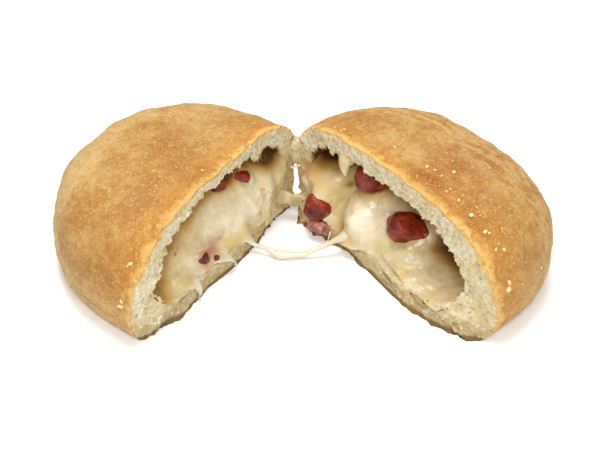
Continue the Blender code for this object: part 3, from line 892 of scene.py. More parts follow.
# The corners of the two mouths still hold together at the back by a scrap of torn dough.
SCRAP = {"centre": (-2.2, 30.7, 27.0), "size": (5.4, 4.2, 13.6), "cuts": (160, 90)}
around = turns(SCRAP["cuts"][0])[None, :]
down = np.linspace(0.0, math.pi, SCRAP["cuts"][1])[:, None]
level = np.cos(down) + 0.0 * around
points = np.stack([np.sin(down) * np.cos(around), np.sin(down) * np.sin(around), level], axis=-1)
points = (np.array(SCRAP["centre"]) + points * np.array(SCRAP["size"]) / 2) * MM
values = {key: np.zeros(points.shape[:2]) for key in ("stained", "soaked", "base", "crust")}
values |= {"across": 0.5 + values["base"], "relief": 1.0 + values["base"]}
scrap = put_in_scene("torn_scrap", wrapped_mesh("torn_scrap", points, values))
modelled(scrap, surface_relief, torn_crumb_finish, CRUMB_RELIEF | {"Seed": 5.0})
dress(scrap, "crust")

# =========================================================================== flour and crumbs
# Bits of crumb that fell on the crust as it was torn, most of them near the right half's tear.

CRUMBS = {"Bits per square metre": 260000.0, "Smallest": 0.25, "Bit size": 0.0011}
CRUMB_BED_DEPTH = (0.8, 30.0)  # from and to, back from the tear
CRUMB_SPREAD = 6.0
CRUMBS_ABOVE = 16.0
CRUMB_DRIFTS = 9.0
CRUMB_LONG = 1.25
CRUMB_FLAT = 0.7
BIG_CRUMBS = {  # turn round the mouth in degrees, depth from the tear, size
    "right": (
        (88.0, 8.2, 1.5), (86.0, 9.0, 1.1), (82.0, 13.7, 1.4), (83.0, 8.3, 1.0), (69.0, 3.4, 1.3),
        (59.0, 2.4, 1.6), (47.0, 2.0, 1.8), (45.0, 3.0, 1.3), (35.0, 1.6, 1.3), (32.0, 4.9, 1.5),
        (12.0, 2.2, 1.8), (8.0, 1.6, 2.2),
    ),
    "left": ((150.0, 1.6, 1.8), (152.0, 2.2, 1.2), (176.0, 2.2, 1.6), (179.0, 2.6, 2.4)),
}


def loose_crumbs():
    """Pale baked bits, some more golden than others."""
    material, tree, shader = new_material("loose_crumbs")
    place = node(tree, "ShaderNodeTexCoord").outputs["Object"]
    tone = noise_value(tree, place, 0.004, seed=21.0)
    colour = blend_colour(tree, ramp(tree, tone, 0.4, 0.6), paint(240, 214, 160), paint(232, 198, 132))
    tree.links.new(colour, shader.inputs["Base Color"])
    set_finish(shader, roughness=0.8)
    grain = noise_value(tree, place, 0.0004, seed=22.0)
    bump(tree, shader, grain, 0.0002, 0.6)
    return material


def grid_faces(rows, columns):
    """The index of each point in a grid, and the four corners of each face between them."""
    index = np.arange(rows * columns).reshape(rows, columns)
    quads = np.stack([index[:-1, :-1], index[:-1, 1:], index[1:, 1:], index[1:, :-1]], axis=-1)
    return index, quads.reshape(-1, 4)


def crumb_bed(half):
    """The outside of the crust near the tear as an open sheet for crumbs to fall on."""
    turn = np.linspace(math.radians(2.0), math.radians(178.0), 240)
    depths = np.linspace(*CRUMB_BED_DEPTH, 40)
    rows = np.stack([crust_outside(half, turn, depth) for depth in depths])
    form = skin_form(half, rows, np.repeat(depths[:, None], len(turn), axis=1))[0]
    rows[..., 2] += form - 0.1
    free = smooth(0.62 - 0.5 * half["hinge"] * rows[..., 0] / half["half_width"])
    near = np.exp(-depths / CRUMB_SPREAD)[:, None]
    strewn = half["strewn"] * free * near * smooth(rows[..., 2] / CRUMBS_ABOVE)
    strewn *= smooth(0.2 + 1.3 * rough(rows, CRUMB_DRIFTS, half["seed"] + 90.0))
    quads = grid_faces(*rows.shape[:2])[1]
    mesh = bpy.data.meshes.new("crumb_bed")
    mesh.from_pydata(in_metres(half, rows).reshape(-1, 3).tolist(), [], quads.tolist())
    carry(mesh, {"strewn": strewn})
    return mesh


def torn_off_crumb(half, turn, depth, size, seed):
    """One bigger crumb: a lump with a rough outline, pressed a little flat."""
    shape = bmesh.new()
    bmesh.ops.create_icosphere(shape, subdivisions=4, radius=0.5)
    centre = crust_outside(half, np.array([math.radians(turn)]), depth)[0]
    for point in shape.verts:
        lump = 1.0 + 0.45 * noise.fractal(point.co * 3.0 + Vector((seed, 0, 0)), 1.0, 2.0, 3)
        point.co = point.co * lump * size * 0.85
        point.co.x *= CRUMB_LONG
        point.co.z *= CRUMB_FLAT
    points = np.array([point.co for point in shape.verts])
    points = points @ np.array(Euler((seed, seed * 2.0, seed * 3.0)).to_matrix())
    placed = in_metres(half, points + centre)
    for point, spot in zip(shape.verts, placed.tolist()):
        point.co = spot
    return shape


loose_crumb_finish = loose_crumbs()
for half in (LEFT, RIGHT):
    bits = put_in_scene(f"loose_crumbs_{half['name']}", crumb_bed(half))
    modelled(bits, strewn_bits, loose_crumb_finish, CRUMBS | {"Seed": half["seed"]})
    dress(bits, "crust")
gathered = bmesh.new()
fallen = [(half, *crumb) for half in (RIGHT, LEFT) for crumb in BIG_CRUMBS[half["name"]]]
for number, (half, turn, depth, size) in enumerate(fallen):
    lump = torn_off_crumb(half, turn, depth, size, 1.0 + number)
    spare = bpy.data.meshes.new("lump")
    lump.to_mesh(spare)
    lump.free()
    gathered.from_mesh(spare)
    bpy.data.meshes.remove(spare)
mesh = bpy.data.meshes.new("torn_off_crumbs")
gathered.to_mesh(mesh)
gathered.free()
dress(put_in_scene("torn_off_crumbs", mesh, loose_crumb_finish), "crust")

# ======================================================================== melted mozzarella
# The filling of each half: mozzarella that melted, flowed out over the lip and set in soft lumps
# and folds, moist and shiny, yellow and oily in spots, with shade painted olive and brown under the crust.

CHEESE_DEEPEST = 0.8  # share of the hollow's depth
CHEESE_PRESSED = 1.0  # how far the melted cheese sinks into the wall round it
CENTRE_RISE = 0.42
SHEET_THICKNESS = 2.6  # height in which the sheet on the lip rises to its top
TONGUE_HEIGHT = 3.0
WAVE_HEIGHT = 4.0
RIM_ROUNDS = 14  # rounds in which the edge of the face settles on the wall of the hollow
RIM_STEP = 0.6
FILL_TOP = 6.0  # height over which the cheese at the hinge falls back under the crust
SHEET_EDGE = {"left": 0.9, "right": 2.6}  # height of the cheese's rounded front edge on the lip
FLOW = ((7.0, 0.8), (2.6, 0.3))  # length and depth of the waves in that edge
# In each half's table, shade_path, shade_width, shade, behind and dark place painted shade: the cheese
# turns olive and brown along the crust's inner rim, deep in the hollow behind the tear and in its dents,
# where shade falls. A few small dark specks are among the dark spots.
CHEESE = {
    "left": {
        "edge": (
            (-44, 0.5), (-36, -2.4), (-28, -3.2), (-19, -3.2), (-12, -2.2), (4, -2.0), (12, -1.6),
            (20, -1.2), (31, -1.4), (40, -0.4),
        ),
        "tongues": ((-16.7, 1.8, 1.2), (3.2, 2.2, 1.6), (17.0, 2.2, 2.4)),
        "sheet": ((-38, 2), (-28, 4), (-10, 4), (20, 1.5), (40, 1)),
        "shade_path": (
            (-36, 13), (-30, 18), (-22, 24), (-12, 28), (0, 30.5), (12, 33), (24, 33.5), (42, 31),
        ),
        "shade_width": ((-36, 6.5), (-10, 6), (10, 4.5), (40, 4)),
        "shade": ((-40, 0.7), (-25, 0.65), (-5, 0.6), (12, 0.7), (20, 0.5), (40, 0.9)),
        "behind": (-60.0, 6.0, 3.0, 9.0, 0.35),
        "dark": ((38, 32, 6, 1.0), (15, 34, 5, 0.7), (-18.5, 19.5, 0.8, 0.6), (-16.2, 20.5, 0.6, 0.4)),
        "milky": (
            (2, 17, 5.5, 0.7), (12, 18, 6, 0.8), (23, 19, 7, 0.7), (-12, 10, 4, 0.5), (-23, 9, 4, 0.5),
            (34, 17, 6, 0.5),
        ),
        "lumps": (
            (22, 19, 13, 9, 5), (33, 24, 6, 9, 3), (-4, 14, 10, 6, 2.5), (4, 30, 12, 7, -2),
            (30, 37, 8, 4, -5), (-34, 9, 9, 5, 4.0), (3.5, 16.4, 2.4, 1.6, 1.3), (-16, 12, 5, 4, -1.5),
            (14, 10.5, 5, 3, 1.2), (11, 20, 7, 4, 1.6), (20, 13, 4, 6, -1.2),
        ),
        "folds": (
            (((-13, 15.4), (-9.0, 15.8), (-3.0, 14.6), (4.0, 14.0)), 0.7, 0.8),
            (((-12, 13.6), (-7.0, 13.6), (0.0, 12.2), (6.0, 12.4)), -0.5, 0.9),
            (((19, 25), (22, 19), (24, 14)), 0.3, 1.3),
            (((28, 22), (29, 17), (28, 11)), -0.5, 1.6),
            (((-30, 14), (-22, 12.0), (-14, 10.0)), 0.4, 1.0),
        ),
        "hinge_fill": (31.0, 39.0, 29.5, 0.2),
        "knobs": ((37, 19, 6, 6, 1.8), (45, 12, 4, 5, -1.0)),
        "oily": ((15.3, 11.2, 2.2, 0.7), (8.5, 9.4, 2.4, 0.7), (-22, 12, 5.0, 0.4), (25.3, 11.9, 1.2, 1.0)),
        "pink": (
            (-6.6, 11.4, 3.6, 1.0), (-1.0, 12.6, 3.2, 0.8), (2.6, 14.8, 1.8, 0.6),
            (36.0, 13.0, 2.6, 0.6),
        ),
    },
    "right": {
        "edge": (
            (-42, -3), (-30, -4.5), (-22, -6.4), (-14, -5.4), (-8, -4.4), (4, -5.6), (14, -9.6),
            (22, -10.6), (32, -11.2), (38, -9.8), (44, -7.0),
        ),
        "tongues": ((-20.5, 3.5, 2.4), (-16.0, 1.5, 1.2)),
        "sheet": ((-40, 1), (-20, 1.5), (0, 5), (16, 14.5), (28, 14), (40, 5)),
        "shade_path": (
            (-50, 28), (-42, 31), (-30, 32), (-12, 33), (2, 27), (10, 22), (20, 16), (29, 12), (35, 11),
        ),
        "shade_width": ((-50, 3), (-38, 4.5), (-20, 6), (0, 5), (16, 7), (30, 5)),
        "shade": ((-50, 0.9), (-30, 1.0), (-4, 0.9), (8, 0.45), (30, 0.3)),
        "behind": (6.0, 8.0, -0.5, 11.0, 0.9),
        "dark": (
            (-44, 31, 5.5, 1.0), (-20, 34, 7, 0.8), (-29.5, 22, 1.4, 0.6), (-40, 19, 10, 0.22),
            (-25, 9, 2.6, 0.5),
        ),
        "milky": (
            (-19, 21, 7, 0.7), (-13, 19, 6, 0.5), (-24, 16, 4, 0.4), (27, 9, 7, 0.6), (-12, 13, 5, 0.5),
            (16, 8, 4, 0.4),
        ),
        "lumps": (
            (-39, 19, 8, 8, 6), (-42, 33, 9, 5, -8), (-44, 21, 6, 5, 1.8), (-17, 18, 8, 8, 8.5),
            (-28, 23, 3.5, 12, -3.5), (6, 11, 9, 5, 3), (34, 7, 9, 3.5, 4), (24, 20, 11, 8, -8),
            (8, 28, 12, 6, -5), (37, 9, 5, 5, 3), (-36, 14, 6, 6, 2.5), (-24, 9.5, 2.6, 2.2, -1.8),
            (-12, 12, 5, 4, 1.0),
        ),
        "folds": (
            (((-25, 24), (-27, 20), (-29.5, 16), (-31.5, 11)), -1.5, 1.1),
            (((-23, 19), (-25.5, 15), (-27, 12)), 0.5, 1.2),
            (((-34.5, 18.5), (-32, 19.5), (-31, 17.5), (-33, 16.5)), 0.35, 0.5),
            (((-15, 15.5), (-12, 14.8), (-10, 15.8)), 0.3, 0.6),
            (((-24, 11.8), (-20.5, 12.2), (-17, 11.4)), 0.7, 0.9),
            (((-8, 10), (2, 8.6), (12, 8.2)), 0.35, 0.9),
        ),
        "hinge_fill": (36.0, 44.0, 25.5, -1.5),
        "knobs": ((-42, 20, 6, 6, 2.4), (-50, 13, 4, 5, -1.2), (-33, 24, 3, 3, 1.2)),
        "oily": (
            (9.2, 8.3, 1.9, 1.0), (26.0, 8.0, 1.6, 1.0), (-38.8, 22.4, 1.0, 0.5),
            (-37.2, 21.7, 1.0, 0.5), (-39, 20, 9.0, 0.3),
        ),
        "pink": (
            (-22.0, 27.0, 4.0, 0.5), (-47.5, 22.0, 2.6, 0.9), (-41.0, 7.0, 4.0, 0.6),
            (-8.0, 21.0, 2.0, 0.5),
        ),
    },
}
DICE = (
    (LEFT, "salami_left_top", (22.6, 5.4, 28.6), (7.8, 6.6, 6.4), (12, 24, 20), (3.6, 3.6)),
    (LEFT, "salami_left_shade", (10.8, 6.9, 31.6), (6.6, 6.0, 4.8), (-10, 20, 50), (4.0, 4.0)),
    (LEFT, "salami_left_low", (-6.8, 0.2, 11.0), (5.0, 4.2, 4.0), (10, -15, 25), (3.0, 3.0)),
    (LEFT, "salami_left_bit", (-1.4, -1.5, 8.6), (2.5, 2.4, 2.3), (0, 20, 40), (3.0, 3.0)),
    (RIGHT, "salami_right_hinge", (-37.0, -4.4, 12.0), (11.6, 10.0, 10.8), (8, 10, 30), (2.2, 3.2)),
    (RIGHT, "ham_right_hinge", (-34.2, -7.4, 5.0), (9.6, 4.0, 6.6), (30, 12, -12), (2.6, 2.6)),
    (RIGHT, "salami_right_middle", (0.4, 5.4, 18.2), (16.0, 10.5, 10.6), (25, 20, 12), (3.4, 3.6)),
    (RIGHT, "salami_right_shade", (-17.2, 6.2, 32.2), (16.8, 9.4, 11.2), (10, 8, 20), (3.2, 3.2)),
)
DRAPE = 0.9  # how far the cheese laps up round a die
DRAPE_WIDTH = 1.3
CHEESE_SEGMENTS = 640
CHEESE_FACE = 124
CHEESE_WALL = 12
CHEESE_RELIEF = {"Swell size": 0.008, "Swell depth": 0.0022, "Tuft size": 0.0032, "Tuft depth": 0.0004}


def from_path(x, z, path):
    """Distance from each place on the face to a path of points across it."""
    nearest = np.full(np.shape(x), np.inf)
    for (start_x, start_z), (end_x, end_z) in zip(path, path[1:]):
        run_x, run_z = end_x - start_x, end_z - start_z
        share = ((x - start_x) * run_x + (z - start_z) * run_z) / (run_x**2 + run_z**2)
        share = np.clip(share, 0.0, 1.0)
        nearest = np.minimum(nearest, np.hypot(x - start_x - share * run_x, z - start_z - share * run_z))
    return nearest


def bulged(depth, x, z, lumps):
    """The depth of a face with soft lumps on it, or dents where a bulge is below 0."""
    for lump_x, lump_z, width, height, bulge in lumps:
        depth = depth - bulge * bell(x - lump_x, width) * bell(z - lump_z, height)
    return depth


def cheese_face(half, x, z):
    """Depth of the cheese's open face behind the tear, at this place across and up."""
    form = CHEESE[half["name"]]
    rise = np.maximum(0.0, z - half["base_wall"] + CHEESE_PRESSED)
    level = np.stack([x, 0.0 * x, 0.0 * x], axis=-1)
    waves = sum(deep * rough(level, length, half["seed"] + length, octaves=2) for length, deep in FLOW)
    depth = along(form["edge"], x) + waves * np.exp(-rise / WAVE_HEIGHT) + half["slope"] * rise
    for tongue_x, width, reach in form["tongues"]:
        depth -= reach * bell(x - tongue_x, width) * np.exp(-rise / TONGUE_HEIGHT)
    laid = np.maximum(0.0, rise - CHEESE_PRESSED - SHEET_EDGE[half["name"]])
    depth += along(form["sheet"], x) * (1.0 - np.exp(-laid / SHEET_THICKNESS))
    depth = bulged(depth, x, z, form["lumps"])
    start, full, top, filled = form["hinge_fill"]
    share = smooth((half["hinge"] * x - start) / (full - start)) * smooth((top - z) / FILL_TOP)
    depth += (filled - depth) * share
    depth = bulged(depth, x, z, form["knobs"])
    for path, height, width in form["folds"]:
        depth -= height * bell(from_path(x, z, path), width)
    for owner, _, (die_x, _, die_z), sizes, _, _ in DICE:
        if owner is half:
            out = np.hypot(x - die_x, z - die_z) - 0.45 * (sizes[0] + sizes[2]) / 2
            depth -= DRAPE * bell(out, DRAPE_WIDTH)
    return np.minimum(depth, CHEESE_DEEPEST * (half["reach"] - half["back_wall"]))


def cheese_points(half, turn):
    """Rings of the cheese from the middle of its open face out to its edge and back down the wall."""
    depth = np.zeros_like(turn)
    for _ in range(RIM_ROUNDS):
        rim = crust_inside(half, turn, depth, -CHEESE_PRESSED)
        depth = depth + RIM_STEP * (cheese_face(half, rim[:, 0], rim[:, 2]) - depth)
    rim[:, 1] = depth
    middle_x = half["hinge"] * (half["free_wall"] - half["hinge_wall"]) / 2
    room = half["height"] - half["base_wall"] - half["top_wall"]
    middle_z = half["base_wall"] + CENTRE_RISE * room
    rings = []
    for share in np.sin(np.linspace(0.0, math.pi / 2, CHEESE_FACE + 1)):
        x = middle_x + (rim[:, 0] - middle_x) * share
        z = middle_z + (rim[:, 2] - middle_z) * share
        rings.append(np.stack([x, cheese_face(half, x, z), z], axis=-1))
    end = half["reach"] - half["back_wall"] - CHEESE_PRESSED
    for deeper in np.sin(np.linspace(0.0, math.pi / 2, CHEESE_WALL + 1))[1:]:
        rings.append(crust_inside(half, turn, depth + (end - depth) * deeper, -CHEESE_PRESSED))
    return np.stack(rings)


def melted_mozzarella(name, pale, warm, roughness=0.34):
    """Cream to ivory, moist and a little see-through, with paler streaks drawn down through it, painted
    shade in the dips of its relief, and olive to brown painted shade where the deep attribute says.
    """
    material, tree, shader = new_material(name)
    place = node(tree, "ShaderNodeTexCoord").outputs["Object"]
    drawn = node(tree, "ShaderNodeMapping", {"Vector": place, "Scale": (1.0, 1.0, 0.4)}).outputs[0]
    cloud = noise_value(tree, place, 0.010, detail=3.0, seed=6.0)
    streak = noise_value(tree, drawn, 0.0034, detail=3.0, seed=7.0, roughness=0.45)
    raised = attribute(tree, "raised")
    ivory = blend_colour(tree, ramp(tree, cloud, 0.38, 0.62), pale, warm)
    # Painted shade: the dips of the relief are darkened.
    ivory = tinted(tree, ivory, raised, 0.1, -0.6, 0.5, (186, 156, 98))
    ivory = tinted(tree, ivory, streak, 0.52, 0.70, 0.35, (230, 224, 202))
    ivory = tinted(tree, ivory, streak, 0.46, 0.30, 0.2, (196, 172, 118))
    ivory = marked(tree, ivory, "milky", (230, 220, 192))
    ivory = marked(tree, ivory, "oily", (216, 188, 110))
    ivory = tinted(tree, ivory, attribute(tree, "oily"), 0.93, 0.99, 1.0, (84, 70, 26))
    ivory = marked(tree, ivory, "pink", (176, 122, 98))
    # The deep attribute is painted shade: olive, then brown, where the crust's rim and the hollow shade the
    # cheese.
    deep = attribute(tree, "deep")
    ivory = tinted(tree, ivory, deep, 0.0, 0.6, 1.0, (172, 130, 62))
    ivory = tinted(tree, ivory, deep, 0.4, 1.0, 1.0, (88, 52, 18))
    tree.links.new(ivory, shader.inputs["Base Color"])
    # The coat fades where shade is painted, so the painted shade catches no sheen.
    moist = ramp(tree, deep, 0.0, 0.6, 1.0, 0.0)
    tree.links.new(maths(tree, "MULTIPLY", moist, 0.4), shader.inputs["Coat Weight"])
    set_finish(
        shader,
        roughness=roughness,
        specular_ior_level=0.3,
        coat_roughness=0.14,
        subsurface_weight=0.12,
        subsurface_radius=(0.0030, 0.0022, 0.0012),
    )
    fine = noise_value(tree, drawn, 0.0012, detail=3.0, seed=17.0, roughness=0.6)
    bump(tree, shader, maths(tree, "MULTIPLY_ADD", fine, 0.35, streak), 0.0006, 0.45)
    return material


mozzarella_finish = melted_mozzarella("melted_mozzarella", paint(212, 198, 158), paint(200, 176, 122))
melted_cheeses = {}
for half in (LEFT, RIGHT):
    turn = turns(CHEESE_SEGMENTS)
    rings = cheese_points(half, turn)
    x, y, z = rings[..., 0], rings[..., 1], rings[..., 2]
    shown = [np.ones(CHEESE_FACE - 3), np.linspace(1.0, 0.0, 5), np.zeros(CHEESE_WALL - 1)]
    shown = np.concatenate(shown)
    form = CHEESE[half["name"]]
    values = {"relief": np.repeat(shown[:, None], CHEESE_SEGMENTS, axis=1)}
    values |= {"oily": spots(form["oily"], x, z), "pink": spots(form["pink"], x, z)}
    # The deep values are painted shade: along the path under the crust's rim, deep in the hollow behind the
    # tear, and at the dark spots.
    from_shade = from_path(x, z, form["shade_path"])
    shaded = along(form["shade"], x) * bell(from_shade, along(form["shade_width"], x))
    start, run, front, fade, strength = form["behind"]
    shaded = np.maximum(shaded, strength * smooth((x - start) / run) * smooth((y - front) / fade))
    values["deep"] = np.clip(shaded + spots(form["dark"], x, z), 0.0, 1.0)
    values["milky"] = spots(form["milky"], x, z) * smooth(0.75 + rough(rings, 7.0, half["seed"] + 130.0))
    mesh = wrapped_mesh(f"melted_cheese_{half['name']}", in_metres(half, rings), values)
    cheese = put_in_scene(f"melted_cheese_{half['name']}", mesh)
    modelled(cheese, surface_relief, mozzarella_finish, CHEESE_RELIEF | {"Seed": half["seed"] + 2.0})
    dress(cheese, "cheese", "cheese")
    melted_cheeses[half["name"]] = cheese

# ============================================================== cheese smeared on the hinge side
# Where the halves hang together the melted cheese was wiped over the torn crumb, so a thin,
# uneven skin of it covers the crumb from the lip almost to the top.

SMEARS = (  # half, from and to along the mouth and up, and thickness
    (LEFT, 25.0, 48.0, 0.6, 24.5, 1.0),
    (RIGHT, -53.8, -41.0, 5.5, 23.5, 1.2),
)
SMEAR_FOOT = 1.6
SMEAR_CUTS = (110, 130)
SMEAR_DEEPEST = 4.0
SMEAR_SOFTENED = 24  # how often what lies under the smear is evened out
SMEAR_BACK = 1.5  # how far the smear goes on into what it lies on
RAGGED = 0.45
RAGGED_LENGTH = 6.0
IN_FRONT = 30.0  # how far in front of the tear a line into the bread starts
PAST_ALL = 6.0  # depth given where such a line meets nothing


def slab_mesh(name, front, back, attributes):
    """A closed thin piece between two grids of points, with the front grid's attributes."""
    index, quads = grid_faces(*front.shape[:2])
    border = np.concatenate([index[0, :], index[1:, -1], index[-1, -2::-1], index[-2:0:-1, 0]])
    onward = np.roll(border, -1)
    behind = index.size
    sides = np.stack([border, border + behind, onward + behind, onward], axis=1)
    faces = np.concatenate([quads[:, ::-1], quads + behind, sides[:, ::-1]])
    mesh = bpy.data.meshes.new(name)
    points = np.concatenate([front.reshape(-1, 3), back.reshape(-1, 3)])
    mesh.from_pydata(points.tolist(), [], faces.tolist())
    carry(mesh, {key: np.concatenate([value, value]) for key, value in attributes.items()})
    face_outwards(mesh)
    return mesh


def draped_depth(half, x, z, pieces):
    """Depth at which a line into the bread at each x and z first meets one of the pieces."""
    into = Vector((-math.sin(half["bearing"]), math.cos(half["bearing"]), 0.0))
    starts = in_metres(half, np.stack([x, np.full_like(x, -IN_FRONT), z], axis=-1)).reshape(-1, 3)
    met = np.full(len(starts), np.inf)
    for piece in pieces:
        shape = bmesh.new()
        shape.from_mesh(piece.data)
        tree = BVHTree.FromBMesh(shape)
        shape.free()
        for k, start in enumerate(starts.tolist()):
            distance = tree.ray_cast(Vector(start), into)[3]
            if distance is not None:
                met[k] = min(met[k], distance / MM - IN_FRONT)
    met = met.reshape(x.shape)
    return np.where(np.isfinite(met), met, PAST_ALL)


def softened(grid, times):
    """A grid evened out by averaging each value with its neighbours this many times."""
    for _ in range(times):
        edged = np.pad(grid, 1, mode="edge")
        around = edged[:-2, 1:-1] + edged[2:, 1:-1] + edged[1:-1, :-2] + edged[1:-1, 2:]
        grid = 0.5 * grid + 0.125 * around
    return grid


for half, low_x, high_x, low_z, high_z, thick in SMEARS:
    columns = np.linspace(low_x, high_x, SMEAR_CUTS[0])
    x, z = np.meshgrid(columns, np.linspace(low_z, high_z, SMEAR_CUTS[1]))
    ground = draped_depth(half, x, z, (torn_rims[half["name"]], melted_cheeses[half["name"]]))
    ground = softened(np.minimum(ground, SMEAR_DEEPEST), SMEAR_SOFTENED)
    places = np.stack([x, ground, z], axis=-1)
    ragged = RAGGED * rough(places, RAGGED_LENGTH, half["seed"] + 120.0)
    share_x, share_z = (x - low_x) / (high_x - low_x), (z - low_z) / (high_z - low_z)
    spread = np.minimum(np.minimum(share_x, 1 - share_x) * 2.6, (1 - share_z) * 3.2)
    spread = np.minimum(spread, (z - low_z) / SMEAR_FOOT)
    cover = thick * (smooth(spread + ragged) * 1.5 - 0.5)
    front = np.stack([x, ground - cover, z], axis=-1)
    rear = np.stack([x, ground + SMEAR_BACK, z], axis=-1)
    values = {"relief": smooth(spread * 2.0), "pink": spots(CHEESE[half["name"]]["pink"], x, z)}
    values |= {"oily": 0.25 * smooth(0.5 + ragged * 2.0), "milky": 0.0 * x}
    # Painted shade: the smear darkens towards its top, where the crust above shades it.
    values["deep"] = 0.5 * smooth((z - 19.0) / 6.0)
    name = f"smeared_cheese_{half['name']}"
    smear = put_in_scene(name, slab_mesh(name, in_metres(half, front), in_metres(half, rear), values))
    modelled(smear, surface_relief, mozzarella_finish, CHEESE_RELIEF | {"Seed": half["seed"] + 4.0})
    dress(smear, "cheese", "cheese")

# ============================================================ strands between the two halves
# Where the halves were pulled apart the cheese still stretches between them: a short web at the
# back, where they touch, and two thin strings that sag to the table in front.

WEB = (  # place, width and thickness
    ((-15.4, 22.2, 12.2), 4.0, 11.0), ((-12.2, 22.6, 11.2), 3.6, 9.6), ((-9.0, 22.9, 10.2), 3.0, 7.4),
    ((-6.0, 22.9, 9.6), 2.6, 6.0), ((-3.0, 22.2, 9.1), 2.6, 5.4), ((0.8, 22.4, 9.2), 3.0, 6.2),
    ((4.2, 23.2, 10.6), 4.6, 10.0), ((8.6, 22.4, 13.0), 7.0, 15.0),
)
STRINGS = (
    (
        ((-24.6, 5.0, 11.6), 7.0, 1.6), ((-21.8, 3.9, 7.8), 6.0, 1.6), ((-19.6, 3.1, 5.0), 3.4, 1.4),
        ((-18.0, 2.4, 3.7), 1.8, 1.2), ((-14.3, 0.9, 3.3), 1.3, 1.0), ((-9.8, 0.0, 3.2), 1.3, 0.9),
        ((-0.8, -1.0, 3.0), 1.2, 0.9), ((7.0, 0.0, 5.0), 1.4, 1.2), ((12.2, 1.0, 6.6), 2.4, 2.0),
        ((16.6, 2.0, 8.6), 4.6, 4.0), ((20.6, 4.6, 10.4), 8.0, 6.0),
    ),
    (
        ((-14.8, 1.0, 3.4), 1.2, 1.0), ((-11.2, -0.9, 2.6), 1.9, 1.8), ((-8.2, -2.2, 1.7), 2.2, 2.6),
        ((-4.5, -2.2, 1.8), 1.8, 2.1), ((1.1, -1.7, 2.2), 1.6, 1.9), ((6.6, -0.7, 4.3), 1.5, 1.7),
        ((12.6, 0.8, 6.6), 1.5, 1.6),
    ),
)
THREADS = (
    (((-4.0, 27.6, 20.8), 1.0, 1.2), ((-2.4, 27.4, 21.5), 0.6, 0.5), ((-0.9, 27.2, 22.1), 1.0, 1.0)),
    (((8.0, -1.2, 7.5), 0.6, 0.6), ((9.6, -3.0, 10.0), 0.35, 0.35), ((10.6, -1.0, 12.8), 0.5, 0.5)),
)
LEFT_THREADS = (  # in the left half's own frame
    (
        ((-8.4, -1.2, 7.8), 0.9, 0.8), ((-9.4, -2.0, 7.6), 0.6, 0.6), ((-11.4, -1.6, 7.4), 0.5, 0.5),
        ((-12.2, -3.4, 7.2), 0.5, 0.5), ((-14.0, -2.9, 7.0), 0.5, 0.5), ((-15.5, -3.6, 6.4), 0.8, 0.6),
    ),
    (((-44.6, -1.4, 16.0), 0.8, 0.7), ((-43.0, -2.6, 15.4), 0.4, 0.4), ((-40.6, -2.8, 15.2), 0.6, 0.5)),
)
DRAPES = (  # thin skins of cheese that hang over the lip of the left half, in its own frame
    (
        ((-0.6, 1.0, 7.4), 9.0, 1.6), ((1.4, -1.8, 7.4), 7.0, 1.3), ((3.4, -4.2, 6.6), 4.2, 1.1),
        ((4.7, -5.5, 4.6), 2.0, 0.8), ((5.2, -5.6, 2.0), 1.0, 0.6),
    ),
    (
        ((-14.8, 0.8, 7.4), 5.0, 1.3), ((-15.2, -2.4, 7.1), 3.8, 1.0), ((-15.7, -4.4, 5.9), 2.8, 0.8),
        ((-16.1, -5.0, 3.6), 2.2, 0.6), ((-16.5, -4.8, 1.0), 1.6, 0.5),
    ),
)
DRIP = (
    ((16.6, 11.9, 39.4), 5.6, 4.8), ((16.0, 10.8, 36.6), 4.8, 4.2), ((16.0, 10.2, 33.8), 3.4, 3.0),
    ((16.2, 10.0, 31.6), 1.6, 1.5),
)
STRAND_SEGMENTS = 32
STRAND_STEPS = 18
STRAND_END_RINGS = 5
STRAND_RELIEF = {"Swell size": 0.004, "Swell depth": 0.0005, "Tuft size": 0.0016, "Tuft depth": 0.0002}
WEB_RELIEF = {"Swell size": 0.005, "Swell depth": 0.0020, "Tuft size": 0.002, "Tuft depth": 0.0006}


def smooth_route(knots):
    """Points on a smooth curve through the knots, each row a place, a width and a thickness."""
    rows = np.array([(*place, width, thickness) for place, width, thickness in knots])
    padded = np.concatenate([2 * rows[:1] - rows[1:2], rows, 2 * rows[-1:] - rows[-2:-1]])
    route = []
    for before, start, end, after in zip(padded, padded[1:], padded[2:], padded[3:]):
        for t in np.arange(STRAND_STEPS) / STRAND_STEPS:
            straight = 2 * start + (end - before) * t
            bend = (2 * before - 5 * start + 4 * end - after) * t**2
            twist = (3 * start - before - 3 * end + after) * t**3
            route.append(0.5 * (straight + bend + twist))
    return np.array(route + [rows[-1]])


def strand_points(knots):
    """Rings of a drawn-out strand in metres, rounded off at both ends."""
    route = smooth_route(knots)
    places, wide, thick = route[:, :3], route[:, 3, None] / 2, route[:, 4, None] / 2
    ahead = np.gradient(places, axis=0)
    ahead /= np.linalg.norm(ahead, axis=1, keepdims=True)
    side = np.cross(ahead, [0.0, 0.0, 1.0])
    side /= np.linalg.norm(side, axis=1, keepdims=True)
    upward = np.cross(side, ahead)
    turn = turns(STRAND_SEGMENTS)[None, :, None]
    around = np.cos(turn) * (side * wide)[:, None] + np.sin(turn) * (upward * thick)[:, None]
    rings = places[:, None] + around
    ends = []
    for end, outward in ((0, -1.0), (-1, 1.0)):
        for swing in np.linspace(0.0, math.pi / 2, STRAND_END_RINGS + 1)[1:]:
            tip = places[end] + outward * ahead[end] * thick[end] * math.sin(swing)
            ends.append(tip + around[end] * math.cos(swing))
    first, last = ends[:STRAND_END_RINGS][::-1], ends[STRAND_END_RINGS:]
    return np.concatenate([np.stack(first), rings, np.stack(last)]) * MM


